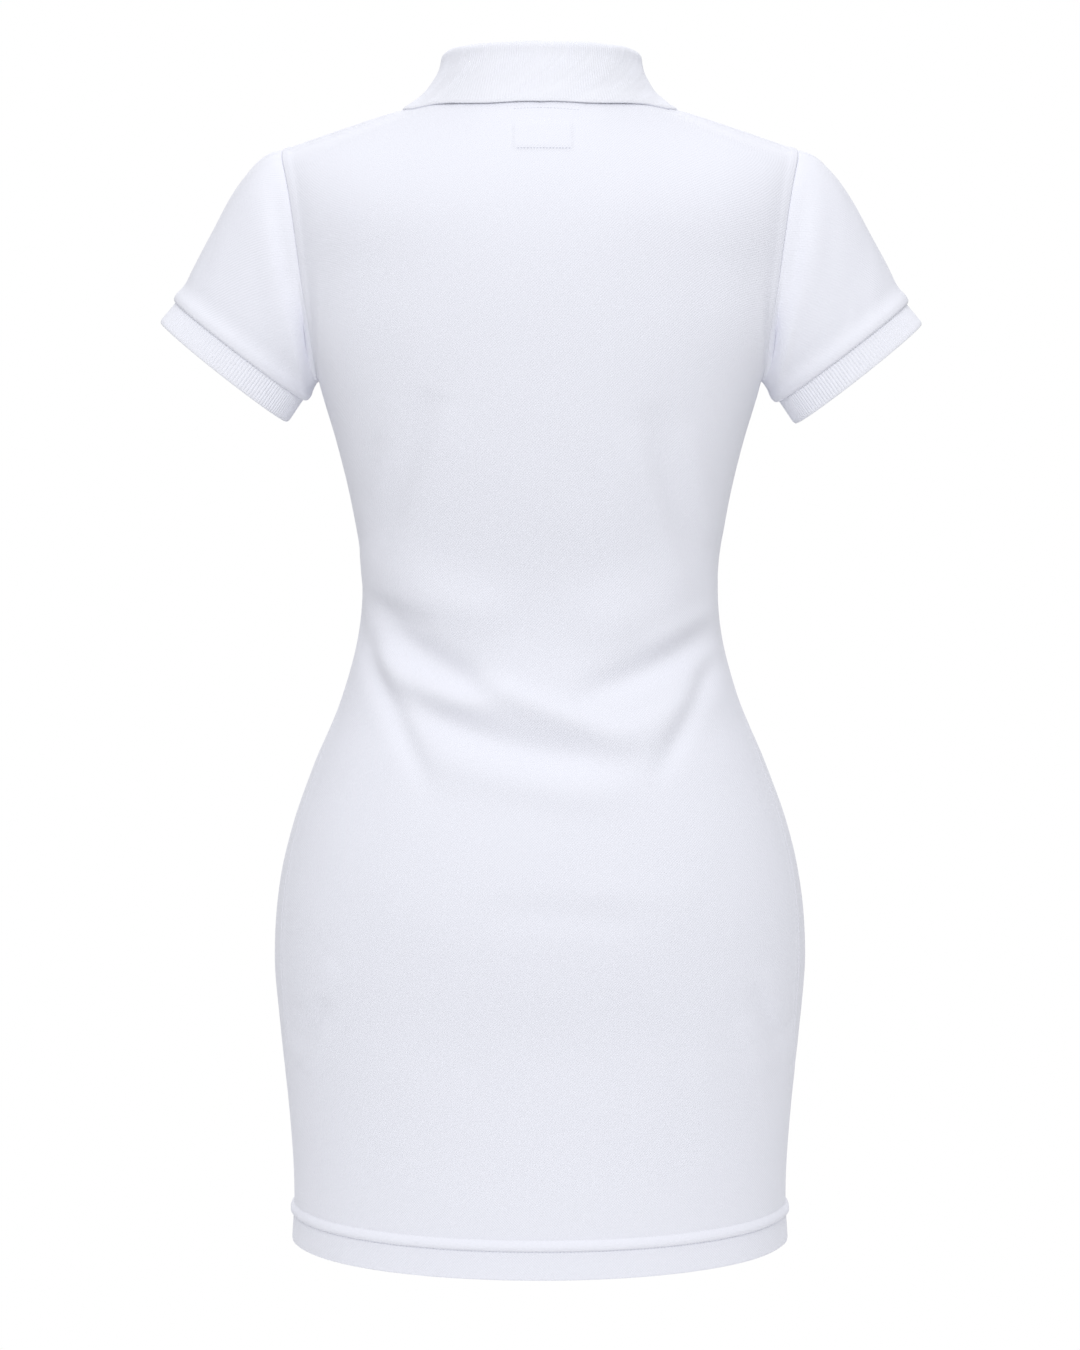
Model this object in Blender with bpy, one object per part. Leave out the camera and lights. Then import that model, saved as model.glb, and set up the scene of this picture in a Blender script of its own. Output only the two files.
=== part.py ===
"""A white short-sleeved polo dress, filled out as if worn on a general figure.

All sizes are millimetres and become metres when a mesh is made. +Z is up, the front
faces -Y and +X is the wearer's left. The origin lies midway between the two side-neck
points, where the shoulders carry the dress.

Each piece of cloth is a grid of points on its outer face, with the direction in which
the cloth faces at each point. Pieces that are sewn together share the points of their
seam, and each then draws back from it a little, so that a fine gap marks the seam.
"""

import math
from collections import namedtuple

import bpy
import numpy as np

# ---------------------------------------------------------------- driving dimensions

MM = 0.001
CLOTH = 1.5  # thickness of the pique cloth
RIB_CLOTH = 1.6  # plain thickness of the rib knit, without its ribs
SEAM_DRAW_BACK = 0.18  # each piece, so that seams are open by twice this
REST_GAP = 0.35  # between a piece and the one that it lies on

NECK_HALF = 66.0  # half the width of the neck opening
NECK_BACK_DEPTH = 58.0  # how far the middle back of the neckline lies behind the origin
NECK_FRONT_DEPTH = 66.0
NECK_BACK_RISE = 2.0
NECK_FRONT_DROP = 64.0
SHOULDER_TIP = 175.2  # half the width across the shoulders, seam to seam
SHOULDER_SLOPE = 0.335  # drop for each millimetre outwards
SHOULDER_RIDGE_Z = 3.2  # top of the shoulder beside the neck
SHOULDER_RIDGE_RISE = 2.0  # the top of the shoulder above its seam
SHOULDER_SEAM_BEHIND = 6.0  # the seam lies this far behind the middle
SHOULDER_RIDGE_FORWARD = 7.0

UNDERARM_Z = -190.0
HEM_Z = -791.5
UPPER_POWER = 2.3  # roundness of a level cut at the underarm and above, as in SECTIONS

# Level cuts through the body of the dress. seam_y is how far behind the middle the
# side seam runs, and power is 2 for an ellipse and more for a squarer outline.
Section = namedtuple("Section", "z half_width back front seam_y power")
SECTIONS = (
    Section(-792, 174.0, 107.0, 103.0, 20.0, 2.05),
    Section(-745, 173.2, 106.0, 102.0, 14.0, 2.10),
    Section(-695, 176.2, 106.0, 102.0, 8.0, 2.15),
    Section(-640, 181.7, 109.0, 103.0, 33.0, 2.20),
    Section(-587, 185.2, 113.0, 104.0, 38.0, 2.25),
    Section(-540, 181.7, 112.5, 105.0, 37.0, 2.30),
    Section(-496, 171.8, 108.0, 106.0, 33.0, 2.30),
    Section(-453, 156.3, 98.0, 105.0, 28.0, 2.30),
    Section(-410, 138.0, 85.0, 101.0, 16.0, 2.30),
    Section(-368, 126.0, 76.0, 96.0, 2.0, 2.30),
    Section(-330, 122.3, 77.0, 98.0, 0.0, 2.30),
    Section(-270, 130.3, 89.0, 114.0, 0.0, 2.30),
    Section(-230, 139.8, 96.0, 118.0, 0.0, 2.30),
    Section(-190, 151.5, 100.0, 113.0, 0.0, UPPER_POWER),
    Section(-140, 157.5, 104.0, 104.0, 0.0, UPPER_POWER),
    Section(-95, 163.5, 103.0, 98.0, 0.0, UPPER_POWER),
)

# The armhole: half the distance between the two of them at each height.
Armhole = namedtuple("Armhole", "z half_width")
ARMHOLE = (
    Armhole(-190, 151.5),
    Armhole(-160, 154.4),
    Armhole(-125, 159.6),
    Armhole(-90, 164.2),
    Armhole(-60, 169.3),
    Armhole(-36, 175.2),
)
ARMHOLE_BACK = 46.0  # how far it reaches behind the middle
ARMHOLE_FRONT = 50.0  # and in front of it
ARMHOLE_SCOOP = 62.0  # height of the round bottom of the armhole

# Creases and soft ridges of the cloth, each along a curve through three places (x, z)
# on the back or the front. height is outwards, so a trough has a negative one.
Fold = namedtuple("Fold", "x1 z1 x2 z2 x3 z3 width height")
BACK_FOLDS = (
    Fold(116, -338, 74, -362, 28, -386, 12, -6.0),  # upper left waist trough
    Fold(117, -356, 88, -382, 30, -400, 10, 4.5),  # ridge under it
    Fold(98, -372, 82, -398, 70, -440, 13, 3.0),  # its branch down to the hip
    Fold(76, -408, 20, -424, -60, -434, 13, -6.5),  # swayback trough
    Fold(60, -436, 5, -455, -66, -452, 15, 2.5),  # ridge under the trough
    Fold(-116, -355, -90, -372, -60, -390, 12, -5.0),  # upper right waist trough
    Fold(-116, -372, -70, -402, -8, -404, 12, 4.5),  # ridge under it
    Fold(117, -362, 100, -402, 80, -442, 8, -3.0),  # left hip crease
    Fold(-118, -372, -104, -404, -81, -440, 8, -2.5),  # right hip crease
    Fold(70, -195, 87, -245, 113, -312, 15, -3.0),  # left shoulder-blade fold
    Fold(-68, -200, -86, -260, -111, -335, 15, -2.6),  # right one
    Fold(140, -582, 152, -602, 166, -624, 10, 2.6),  # left hip diagonals
    Fold(143, -604, 155, -626, 168, -650, 9, -2.4),
    Fold(-146, -584, -158, -606, -169, -634, 10, 2.6),  # right hip diagonals
    Fold(-138, -604, -152, -628, -166, -656, 9, -2.4),
    Fold(60, -541, 0, -543, -66, -549, 11, -1.8),  # across the seat
)
FRONT_FOLDS = (
    Fold(120, -352, 84, -378, 38, -392, 13, -4.0),
    Fold(-118, -360, -78, -382, -30, -398, 13, -4.2),
    Fold(110, -372, 60, -404, -20, -410, 13, 3.0),
    Fold(-104, -392, -50, -420, 24, -424, 14, -3.0),
    Fold(104, -206, 92, -250, 96, -310, 16, -3.0),
    Fold(-106, -200, -94, -246, -98, -302, 16, -2.8),
    Fold(138, -590, 152, -612, 166, -640, 11, -2.2),
    Fold(-140, -582, -154, -606, -168, -632, 11, -2.2),
)
FOLD_END_SHARE = 0.25  # how high a fold still is at its ends
FOLD_FREE_SIDE = 0.22  # folds fade out over this share of a panel, towards its seams
BUST_APART = 71.0  # half the distance between the fullest places of the front
BUST_Z = -228.0
BUST_SPREAD = 40.0
BUST_FULLNESS = 5.0

RELIEF_STARTS_BELOW = 30.0  # below the top of the shoulder
RELIEF_FADES_OVER = 60.0

# The turned hem: a rounded ridge where it is blind stitched, over a doubled band.
HEM_RIDGE_ABOVE = 23.5  # middle of the ridge above the edge
HEM_RIDGE_WIDTH = 7.0
HEM_RIDGE_HEIGHT = 1.7
HEM_BAND_EXTRA = 0.9  # how much thicker the doubled band is, inwards

BODY_ROWS = 19  # between underarm and hem band
UPPER_ROWS = (0, 0.014, 0.045, 0.09, 0.15, 0.22, 0.31, 0.41, 0.52, 0.64, 0.76, 0.88, 1)
SHOULDER_COLUMNS = 7
BACK_NECK_COLUMNS = 5  # in half the neckline
FRONT_NECK_COLUMNS = 6

SLEEVE_END_TOP = (251.8, -135.4)  # (x, z) of the sleeve's lower edge, over the arm
SLEEVE_END_UNDER = (161.8, -204.3)
SLEEVE_END_HALF_DEPTH = 43.0
SLEEVE_FORWARD = -6.0  # y of the middle of the sleeve's end
RIGHT_SLEEVE_OUT = 1.6  # the end of the wearer's right sleeve stands further out
RIGHT_SLEEVE_DOWN = 1.1  # and a little lower than the left one's
SLEEVE_START_PULL = 0.74  # how long the sleeve keeps its direction at the armhole
SLEEVE_END_PULL = 0.86  # and at its end
SLEEVE_ROWS = (0.0, 0.1, 0.24, 0.42, 0.6, 0.78, 0.92, 1.0)
SLEEVE_LIP = 1.3  # the rounded swelling at the sleeve's end

CUFF_SHOWS = 18.0
CUFF_TILT = 1.0  # it shows this much more under the arm and less over it
CUFF_TUCKED = 3.5  # inside the sleeve
CUFF_CLEAR = 0.6  # inside the sleeve's end, round the tucked edge
CUFF_RIB_PITCH = 2.0
CUFF_RIB_HEIGHT = 0.45
CUFF_INNER_COLUMNS = 50
CUFF_FLARE = 0.8  # wider at its free edge than at the seam

# The collar, from the middle of the back (turn 0) to its front end (turn 180).
# stand is the height of its upright part and lean how far that leans inwards. The
# leaf's edge lies at (edge_x, edge_y, edge_z) and bow is how far the leaf hollows.
CollarCut = namedtuple("CollarCut", "turn stand lean edge_x edge_y edge_z bow")
COLLAR_CUTS = (
    CollarCut(0, 29.3, 5.0, 0.0, 71.5, -6.5, 1.0),
    CollarCut(30, 28.8, 4.5, 40.0, 66.5, -6.5, 1.5),
    CollarCut(60, 27.4, 3.8, 76.0, 45.0, -6.5, 3.6),
    CollarCut(90, 27.2, 3.2, 93.5, 5.0, -2.0, 5.2),
    CollarCut(120, 27.0, 4.0, 88.0, -47.0, -19.0, 2.5),
    CollarCut(150, 22.0, 5.0, 70.0, -83.0, -56.0, 0.5),
    CollarCut(174, 13.0, 4.0, 46.0, -97.0, -96.0, 0.0),
)
COLLAR_FOLD_RADIUS = 2.6
COLLAR_RIB_PITCH = 3.7
COLLAR_RIB_HEIGHT = 0.3
COLLAR_PLAIN_COLUMNS = 48
COLLAR_SEAM_LIFT = 1.2  # its lower edge above the edge of the neckline
COLLAR_SEAM_IN = 0.6  # and towards the neck
COLLAR_ASIDE = -1.1  # how far its top has shifted towards the wearer's right
COLLAR_STAND_HOLLOW = 0.8  # the upright part bends inwards this much, half-way up
COLLAR_FOLD_TURNS = (0, 40, 90, 140)  # degrees round the fold, from the stand's top
COLLAR_LEAF_WAYS = (0.06, 0.36, 0.68, 1.0)  # rows of points down the leaf
COLLAR_STAND_ROWS = 2

PLACKET_HALF = 18.5
PLACKET_SLOT_HALF = 14.5  # half the width of the slot in the front, under the placket
PLACKET_END_Z = -203.0
PLACKET_CLOTH = 1.4
PLACKET_LIFT = 0.7  # off the front, whose flat facets swell past its true curve
PLACKET_UNDER_HALF = 14.0
PLACKET_UNDER_END_Z = -189.5
BUTTON_RADIUS = 5.7
BUTTON_THICK = 2.4
BUTTON_RIM = 0.6  # width of the slope at its edges
BUTTON_DISH_RIM = 1.9  # width of the raised rim round its hollow
BUTTON_DISH = 0.5
BUTTON_HEIGHTS = (-84.0, -128.0, -172.0)
BUTTON_SIDES = 24

LABEL_HALF_WIDTH = 19.5
LABEL_TOP_Z = -20.5
LABEL_HEIGHT = 17.5
LABEL_X = -2.0
LABEL_THICK = 1.0
LABEL_CLEAR = 0.9  # from the back's true curve, whose flat facets come nearer
LABEL_COLUMNS = 7
LABEL_ROWS = 5

CLOTH_WHITE = (0.86, 0.87, 0.90, 1)
RIB_WHITE = (0.87, 0.88, 0.905, 1)
BUTTON_WHITE = (0.88, 0.88, 0.87, 1)


# ---------------------------------------------------------------- curves and grids


def smooth_through(knots, values, at):
    """Values read at the given places from a smooth curve through all the knots."""
    knots = np.asarray(knots, float)
    values = np.asarray(values, float)
    at = np.clip(at, knots[0], knots[-1])
    slopes = np.gradient(values, knots)
    left = np.clip(np.searchsorted(knots, at, side="right") - 1, 0, len(knots) - 2)
    span = knots[left + 1] - knots[left]
    t = (at - knots[left]) / span
    start = (1 + 2 * t) * (1 - t) ** 2 * values[left]
    start_slope = t * (1 - t) ** 2 * span * slopes[left]
    end = t * t * (3 - 2 * t) * values[left + 1]
    end_slope = t * t * (t - 1) * span * slopes[left + 1]
    return start + start_slope + end + end_slope


def column(table, name, at):
    """One named column of a table, read smoothly at the given values of its first one."""
    return smooth_through([row[0] for row in table], [getattr(row, name) for row in table], at)


def ease(t):
    """0 below 0, 1 above 1, and a smooth step between."""
    t = np.clip(t, 0.0, 1.0)
    return t * t * (3 - 2 * t)


def blend(a, b, t):
    return a + (b - a) * t


def unit(vectors):
    lengths = np.linalg.norm(vectors, axis=-1, keepdims=True)
    return vectors / np.maximum(lengths, 1e-9)


def faces_of_grid(points, closed):
    """The direction that the surface faces at each point of a grid."""
    if closed:
        wrapped = np.concatenate([points[:, -1:], points, points[:, :1]], axis=1)
        along = np.gradient(wrapped, axis=1)[:, 1:-1]
    else:
        along = np.gradient(points, axis=1)
    down = np.gradient(points, axis=0)
    return unit(np.cross(along, down))


class Cloth:
    """A grid of points on a piece's outer face: rows run down, columns run round."""

    def __init__(self, points, closed=False, outwards=None):
        self.points = points
        self.closed = closed
        self.facing = faces_of_grid(points, closed)
        if outwards is not None and np.sum(self.facing * outwards) < 0:
            self.facing = -self.facing

    def draw_back_first_row(self, away_from_body=0.0, where=1.0):
        """Shifts the first row away from its seam, square to the cut edge of the cloth."""
        shift = self.edge_shift(0, 2, away_from_body)
        self.points = np.concatenate([self.points[:1] + shift * where, self.points[1:]])

    def draw_back_sides(self, away_from_body):
        """Shifts the first and last columns away from their seams."""
        turned = Cloth(self.points.swapaxes(0, 1))
        turned.facing = self.facing.swapaxes(0, 1)
        first = turned.edge_shift(0, 2, away_from_body)
        last = turned.edge_shift(-1, -3, away_from_body)
        self.points = self.points.copy()
        self.points[:, 0] += first
        self.points[:, -1] += last

    def edge_shift(self, row, inner_row, away_from_body):
        """A small shift of each point of an edge row, towards its own piece.

        away_from_body is 1 for a sleeve, whose edge can only move outwards, -1 for the
        armhole edge of the body and 0 for a seam that doesn't run round the armhole.
        """
        edge = self.points[row]
        if self.closed:
            along = np.roll(edge, -1, axis=0) - np.roll(edge, 1, axis=0)
        else:
            along = np.gradient(edge, axis=0)
        square = unit(np.cross(along, self.facing[row]))
        towards = np.sum(square * (self.points[inner_row] - edge), axis=1)
        outwards = np.sign(edge[:, 0]) * square[:, 0]
        towards = towards + away_from_body * outwards * ARMHOLE_BACK
        return square * np.where(towards < 0, -1.0, 1.0)[:, None] * SEAM_DRAW_BACK

    def moved_out(self, distance):
        return self.points + self.facing * distance


def share_seams(pieces):
    """Gives points that pieces share the mean of the directions that they face."""
    points = np.concatenate([piece.points.reshape(-1, 3) for piece in pieces])
    facing = np.concatenate([piece.facing.reshape(-1, 3) for piece in pieces])
    _, group = np.unique(np.round(points, 3), axis=0, return_inverse=True)
    group = group.reshape(-1)
    total = np.zeros((group.max() + 1, 3))
    np.add.at(total, group, facing)
    facing = unit(total)[group]
    start = 0
    for piece in pieces:
        count = piece.points[..., 0].size
        piece.facing = facing[start : start + count].reshape(piece.points.shape)
        start += count


# ---------------------------------------------------------------- the body's form


def half_width_at(z):
    return column(SECTIONS, "half_width", z)


def power_at(z):
    return column(SECTIONS, "power", z)


def armhole_half_at(z):
    return column(ARMHOLE, "half_width", z)


def cut_point(z, angle):
    """A point of the level cut at z: angle 0 is the left side, 90 degrees the back."""
    c = np.cos(angle)
    s = np.sin(angle)
    depth = np.where(s >= 0, column(SECTIONS, "back", z), column(SECTIONS, "front", z))
    bend = 2 / power_at(z)
    x = half_width_at(z) * np.sign(c) * np.abs(c) ** bend
    y = depth * np.sign(s) * np.abs(s) ** bend
    return np.stack([x, y, z + 0 * angle], axis=-1)


def seam_angle(z):
    """The angle at which the left side seam crosses the level cut."""
    share = column(SECTIONS, "seam_y", z) / column(SECTIONS, "back", z)
    return np.arcsin(np.clip(share, 0, 1) ** (power_at(z) / 2))


def neck_share(x):
    """1 at the middle of the neckline, 0 at the side-neck points and beyond."""
    return np.sqrt(np.clip(1 - (x / NECK_HALF) ** 2, 0, 1))


def ridge_z(x):
    """Height of the top of the shoulder."""
    return SHOULDER_RIDGE_Z - SHOULDER_SLOPE * np.maximum(np.abs(x) - NECK_HALF, 0)


def shoulder_seam_z(x):
    """Height of the shoulder seam, which dips behind the ridge away from the neck."""
    return ridge_z(x) - SHOULDER_RIDGE_RISE * ease((np.abs(x) - NECK_HALF) / 25)


def top_edge(x, back):
    """(y, z) of a panel's upper edge at x: neckline in the middle, shoulder beside it."""
    share = neck_share(x)
    seam_z = shoulder_seam_z(x)
    if back:
        y = blend(SHOULDER_SEAM_BEHIND, NECK_BACK_DEPTH, share)
        return y, seam_z + (NECK_BACK_RISE - seam_z) * share
    y = blend(SHOULDER_SEAM_BEHIND, -NECK_FRONT_DEPTH, share)
    return y, seam_z - (NECK_FRONT_DROP + seam_z) * share**1.9


def roll_over(drop, reach, roundness):
    """How much of its full depth the surface has at this drop below its top edge."""
    t = np.clip(drop / reach, 0, 1)
    hollow = 2 * t - t * t
    return (1 - roundness) * hollow + roundness * np.sqrt(hollow)


def upper_y(x, z, back):
    """Depth of the back or front at (x, z), above the underarm."""
    side = ARMHOLE_BACK if back else ARMHOLE_FRONT
    scoop = np.clip((UNDERARM_Z + ARMHOLE_SCOOP - z) / ARMHOLE_SCOOP, 0, 1)
    side = side * np.sqrt(1 - scoop**2)
    full = column(SECTIONS, "back" if back else "front", z)
    share = np.clip(np.abs(x) / armhole_half_at(z), 0, 1)
    rise = ease((z - UNDERARM_Z) / 75)
    power = blend(1 / UPPER_POWER, 0.85, rise)
    full = side + (full - side) * (1 - share**UPPER_POWER) ** power
    outwards = ease((np.abs(x) - 20) / (SHOULDER_TIP - 20))
    edge_y, edge_z = top_edge(x, back)
    if back:
        near = roll_over(edge_z - z, blend(110, 72, outwards), 0.85 * outwards**0.6)
        return blend(edge_y, full, near)
    beside = np.abs(x) >= NECK_HALF
    edge_y = np.where(beside, -SHOULDER_RIDGE_FORWARD, np.abs(edge_y))
    edge_z = np.where(beside, ridge_z(x), edge_z)
    beyond = ease((np.abs(x) - NECK_HALF) / (SHOULDER_TIP - NECK_HALF))
    near = roll_over(edge_z - z, blend(105, 72, beyond), 0.85 * beyond)
    inner = np.where(beside, SHOULDER_RIDGE_FORWARD, np.abs(edge_y))
    return -blend(inner, full, near)


def top_columns(back):
    """x of each column at a panel's upper edge, from the left shoulder to the right."""
    if back:
        angles = np.radians(90 * np.arange(BACK_NECK_COLUMNS + 1) / BACK_NECK_COLUMNS)
    else:
        slot = math.asin(PLACKET_SLOT_HALF / NECK_HALF)
        rest = np.linspace(slot, math.pi / 2, FRONT_NECK_COLUMNS)
        angles = np.concatenate([[0], rest])
    neck = NECK_HALF * np.sin(angles)
    shoulder = np.linspace(NECK_HALF, SHOULDER_TIP, SHOULDER_COLUMNS + 1)[1:]
    half = np.concatenate([neck, shoulder])
    return np.concatenate([half[::-1], -half[1:]])


def side_angles(z, count, back):
    """Angles of the columns of the level cut at z, from the left seam to the right."""
    seam = float(seam_angle(z))
    if back:
        return np.linspace(seam, math.pi - seam, 2 * count + 1)
    slot = math.asin((PLACKET_SLOT_HALF / float(half_width_at(z))) ** (float(power_at(z)) / 2))
    rest = np.linspace(slot, math.pi / 2 + seam, count)
    half = np.concatenate([[0], rest])
    return -math.pi / 2 + np.concatenate([half[::-1], -half[1:]])


def armhole_rows(back):
    """Heights of the rows at the armhole, evenly spaced along its curve."""
    top = shoulder_seam_z(SHOULDER_TIP)
    turn = np.linspace(0, math.pi, 400)[1:-1]
    z = blend(UNDERARM_Z, top, (1 + np.cos(turn)) / 2)
    x = armhole_half_at(z)
    y = upper_y(x, z, back)
    y = np.concatenate([[SHOULDER_SEAM_BEHIND], y, [0]])
    x = np.concatenate([[SHOULDER_TIP], x, [float(armhole_half_at(UNDERARM_Z))]])
    z = np.concatenate([[top], z, [UNDERARM_Z]])
    steps = np.sqrt(np.diff(x) ** 2 + np.diff(y) ** 2 + np.diff(z) ** 2)
    run = np.concatenate([[0], np.cumsum(steps)])
    rows = len(UPPER_ROWS)
    return np.interp(np.linspace(0, run[-1], rows), run, z)


def upper_grid(back):
    """Points of a panel above the underarm, shoulder seam or neckline first."""
    x_top = top_columns(back)
    half = len(x_top) // 2
    level = cut_point(UNDERARM_Z, side_angles(UNDERARM_Z, half, back))
    x_low = level[:, 0]
    share = np.abs(np.arange(-half, half + 1)) / half
    edge_rows = armhole_rows(back)
    rows = []
    for index, way in enumerate(UPPER_ROWS):
        y_top, z_top = top_edge(x_top, back)
        inner_z = blend(z_top, UNDERARM_Z, way)
        z = blend(inner_z, edge_rows[index], share**4)
        x = blend(x_top, x_low, ease(way))
        wanted = armhole_half_at(z[0])
        x = x + np.sign(x) * (wanted - abs(x[0])) * share**3
        y = upper_y(x, z, back)
        if index == 0:
            x, y, z = x_top, y_top, z_top
        if index == len(UPPER_ROWS) - 1:
            x, y = level[:, 0], level[:, 1]
        if index == 1 and not back:
            beside = np.abs(x_top) > NECK_HALF + 0.01
            x = np.where(beside, x_top, x)
            y = np.where(beside, -SHOULDER_RIDGE_FORWARD, y)
            z = np.where(beside, ridge_z(x_top), z)
        rows.append(np.stack([x, y, z], axis=-1))
    return np.array(rows)


def body_heights():
    """Heights of the rows below the underarm, down to the hem's edge."""
    ridge = HEM_Z + HEM_RIDGE_ABOVE
    band_top = ridge + 1.6 * HEM_RIDGE_WIDTH
    body = np.linspace(UNDERARM_Z, band_top, BODY_ROWS + 1)
    half = HEM_RIDGE_WIDTH / 2
    hem = [ridge + half, ridge + half / 3, ridge - half / 3, ridge - half, HEM_Z + 9, HEM_Z]
    return np.concatenate([body, hem])


def lower_grid(back):
    """Points of a panel from the underarm down."""
    half = len(top_columns(back)) // 2
    heights = body_heights()
    return np.array([cut_point(z, side_angles(z, half, back)) for z in heights])


def fold_relief(folds, x, z):
    """How far the folds push the cloth out at each (x, z)."""
    relief = np.zeros_like(x)
    steps = np.linspace(0, 1, 17)
    for fold in folds:
        middle_x = 2 * fold.x2 - (fold.x1 + fold.x3) / 2
        middle_z = 2 * fold.z2 - (fold.z1 + fold.z3) / 2
        start = (1 - steps) ** 2
        middle = 2 * steps * (1 - steps)
        end = steps**2
        line_x = start * fold.x1 + middle * middle_x + end * fold.x3
        line_z = start * fold.z1 + middle * middle_z + end * fold.z3
        away = np.hypot(x[..., None] - line_x, z[..., None] - line_z)
        nearest = steps[np.argmin(away, axis=-1)]
        strength = np.sqrt(np.clip(4 * nearest * (1 - nearest), 0, 1))
        strength = blend(FOLD_END_SHARE, 1, strength)
        relief += fold.height * strength * np.exp(-((away.min(-1) / fold.width) ** 2))
    return relief


def below_shoulder(x, z):
    """0 near the shoulder and the neckline, 1 well below them."""
    return ease((ridge_z(x) - RELIEF_STARTS_BELOW - z) / RELIEF_FADES_OVER)


def bust_relief(x, z):
    """The soft fullness of the front."""
    apart = (np.abs(x) - BUST_APART) / BUST_SPREAD
    down = (z - BUST_Z) / BUST_SPREAD
    return BUST_FULLNESS * np.exp(-(apart**2) - down**2)


def hem_relief(z):
    """The rounded ridge above the hem."""
    away = np.abs(z - (HEM_Z + HEM_RIDGE_ABOVE)) / (HEM_RIDGE_WIDTH / 2)
    return HEM_RIDGE_HEIGHT * np.sqrt(np.clip(1 - away**2, 0, 1))


def body_panel(back):
    """The smooth form of the back or the front."""
    points = np.concatenate([upper_grid(back)[:-1], lower_grid(back)])
    return Cloth(points, outwards=np.array([0, 1.0 if back else -1.0, 0]))


def add_relief(panel, back):
    """Adds the folds, the fullness of the front and the hem's ridge to a panel."""
    points = panel.points
    x = points[..., 0]
    z = points[..., 2]
    relief = fold_relief(BACK_FOLDS if back else FRONT_FOLDS, x, z)
    if not back:
        relief = relief + bust_relief(x, z)
    half = points.shape[1] // 2
    from_side = 1 - np.abs(np.arange(-half, half + 1)) / half
    relief = relief * ease(from_side / FOLD_FREE_SIDE) * below_shoulder(x, z)
    panel.points = points + panel.facing * (relief + hem_relief(z))[..., None]
    panel.facing = Cloth(panel.points, outwards=panel.facing).facing


# ---------------------------------------------------------------- sleeves and cuffs


def sleeve_end_ring(count, side, shift=0.0, shrink=0.0):
    """A ring across the sleeve at its end, shifted along the arm or made narrower."""
    over = np.array([SLEEVE_END_TOP[0], 0, SLEEVE_END_TOP[1]])
    under = np.array([SLEEVE_END_UNDER[0], 0, SLEEVE_END_UNDER[1]])
    across = unit(over - under)
    arm = np.array([across[2], 0, -across[0]])
    middle = (over + under) / 2 + np.array([0, SLEEVE_FORWARD, 0])
    turn = 2 * math.pi * np.arange(count) / count
    long_half = np.linalg.norm(over - under) / 2 - shrink
    deep_half = SLEEVE_END_HALF_DEPTH - shrink
    tilted = shift - np.cos(turn)[:, None] * CUFF_TILT * np.sign(max(shift, 0))
    ring = middle + arm * tilted + np.cos(turn)[:, None] * across * long_half
    ring = ring + np.sin(turn)[:, None] * np.array([0, 1.0, 0]) * deep_half
    if side < 0:
        ring = ring + np.array([RIGHT_SLEEVE_OUT, 0, -RIGHT_SLEEVE_DOWN])
    return ring * np.array([side, 1, 1]), arm * np.array([side, 1, 1])


def sleeve(back, front, side):
    """A sleeve from the armhole edges of both panels to its rounded end."""
    rows = len(UPPER_ROWS)
    edge = 0 if side > 0 else -1
    behind = back.points[:rows, edge]
    before = front.points[:rows, edge]
    armhole = np.concatenate([behind, before[-2:0:-1]])
    count = len(armhole)
    end, arm = sleeve_end_ring(count, side)
    reach = np.linalg.norm(end - armhole, axis=1, keepdims=True)
    middle = armhole.mean(axis=0)
    outwards = unit(armhole - middle)
    top_share = ease((armhole[:, 2:] - UNDERARM_Z) / 150)
    sideways = np.array([side, 0, 0.12]) * top_share
    start = unit(arm * 0.55 + sideways * 1.1 + outwards * 0.25)
    grid = []
    for t in SLEEVE_ROWS:
        a = (1 + 2 * t) * (1 - t) ** 2
        b = t * (1 - t) ** 2
        c = t * t * (3 - 2 * t)
        d = t * t * (t - 1)
        pulled = (b * SLEEVE_START_PULL * start + d * SLEEVE_END_PULL * arm) * reach
        grid.append(a * armhole + c * end + pulled)
    grid = np.array(grid)
    swell = np.array([math.exp(-(((1 - t) / 0.12) ** 2)) for t in SLEEVE_ROWS]) * SLEEVE_LIP
    swell[-1] = 0.2 * SLEEVE_LIP
    cloth = Cloth(grid, closed=True, outwards=grid - grid.mean(axis=1, keepdims=True))
    cloth.points = cloth.points + cloth.facing * swell[:, None, None]
    return cloth


def cuff_rings(side):
    """Outer ribbed rings and plain inner rings of a cuff, tucked edge first."""
    outer_gap = CLOTH + CUFF_CLEAR + CUFF_RIB_HEIGHT
    long_half = math.dist(SLEEVE_END_TOP, SLEEVE_END_UNDER) / 2 - outer_gap
    deep_half = SLEEVE_END_HALF_DEPTH - outer_gap
    round_length = 2 * math.pi * math.sqrt((long_half**2 + deep_half**2) / 2)
    per_column = 2 * round(round_length / CUFF_RIB_PITCH / CUFF_INNER_COLUMNS)
    count = CUFF_INNER_COLUMNS * per_column
    rib = CUFF_RIB_HEIGHT * (np.arange(count) % 2)[:, None]
    shifts = (-CUFF_TUCKED, CUFF_SHOWS)
    outer = []
    inner = []
    for shift in shifts:
        flare = CUFF_FLARE * (shift > 0)
        ring, _ = sleeve_end_ring(count, side, shift, outer_gap - flare)
        out, _ = sleeve_end_ring(count, side, shift, outer_gap - flare - 1)
        outer.append(ring + (out - ring) * rib)
        plain, _ = sleeve_end_ring(CUFF_INNER_COLUMNS, side, shift, outer_gap - flare + RIB_CLOTH)
        inner.append(plain)
    return np.array(outer), np.array(inner)


# ---------------------------------------------------------------- collar


def neckline(turn):
    """The neckline's point at each turn from the middle of the back, left side."""
    turn = np.radians(turn)
    x = NECK_HALF * np.sin(turn)
    share = np.cos(turn)
    back_y, back_z = top_edge(x, True)
    front_y, front_z = top_edge(x, False)
    behind = share >= 0
    y = np.where(behind, back_y, front_y)
    z = np.where(behind, back_z, front_z)
    return np.stack([x, y, z], axis=-1)


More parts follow.
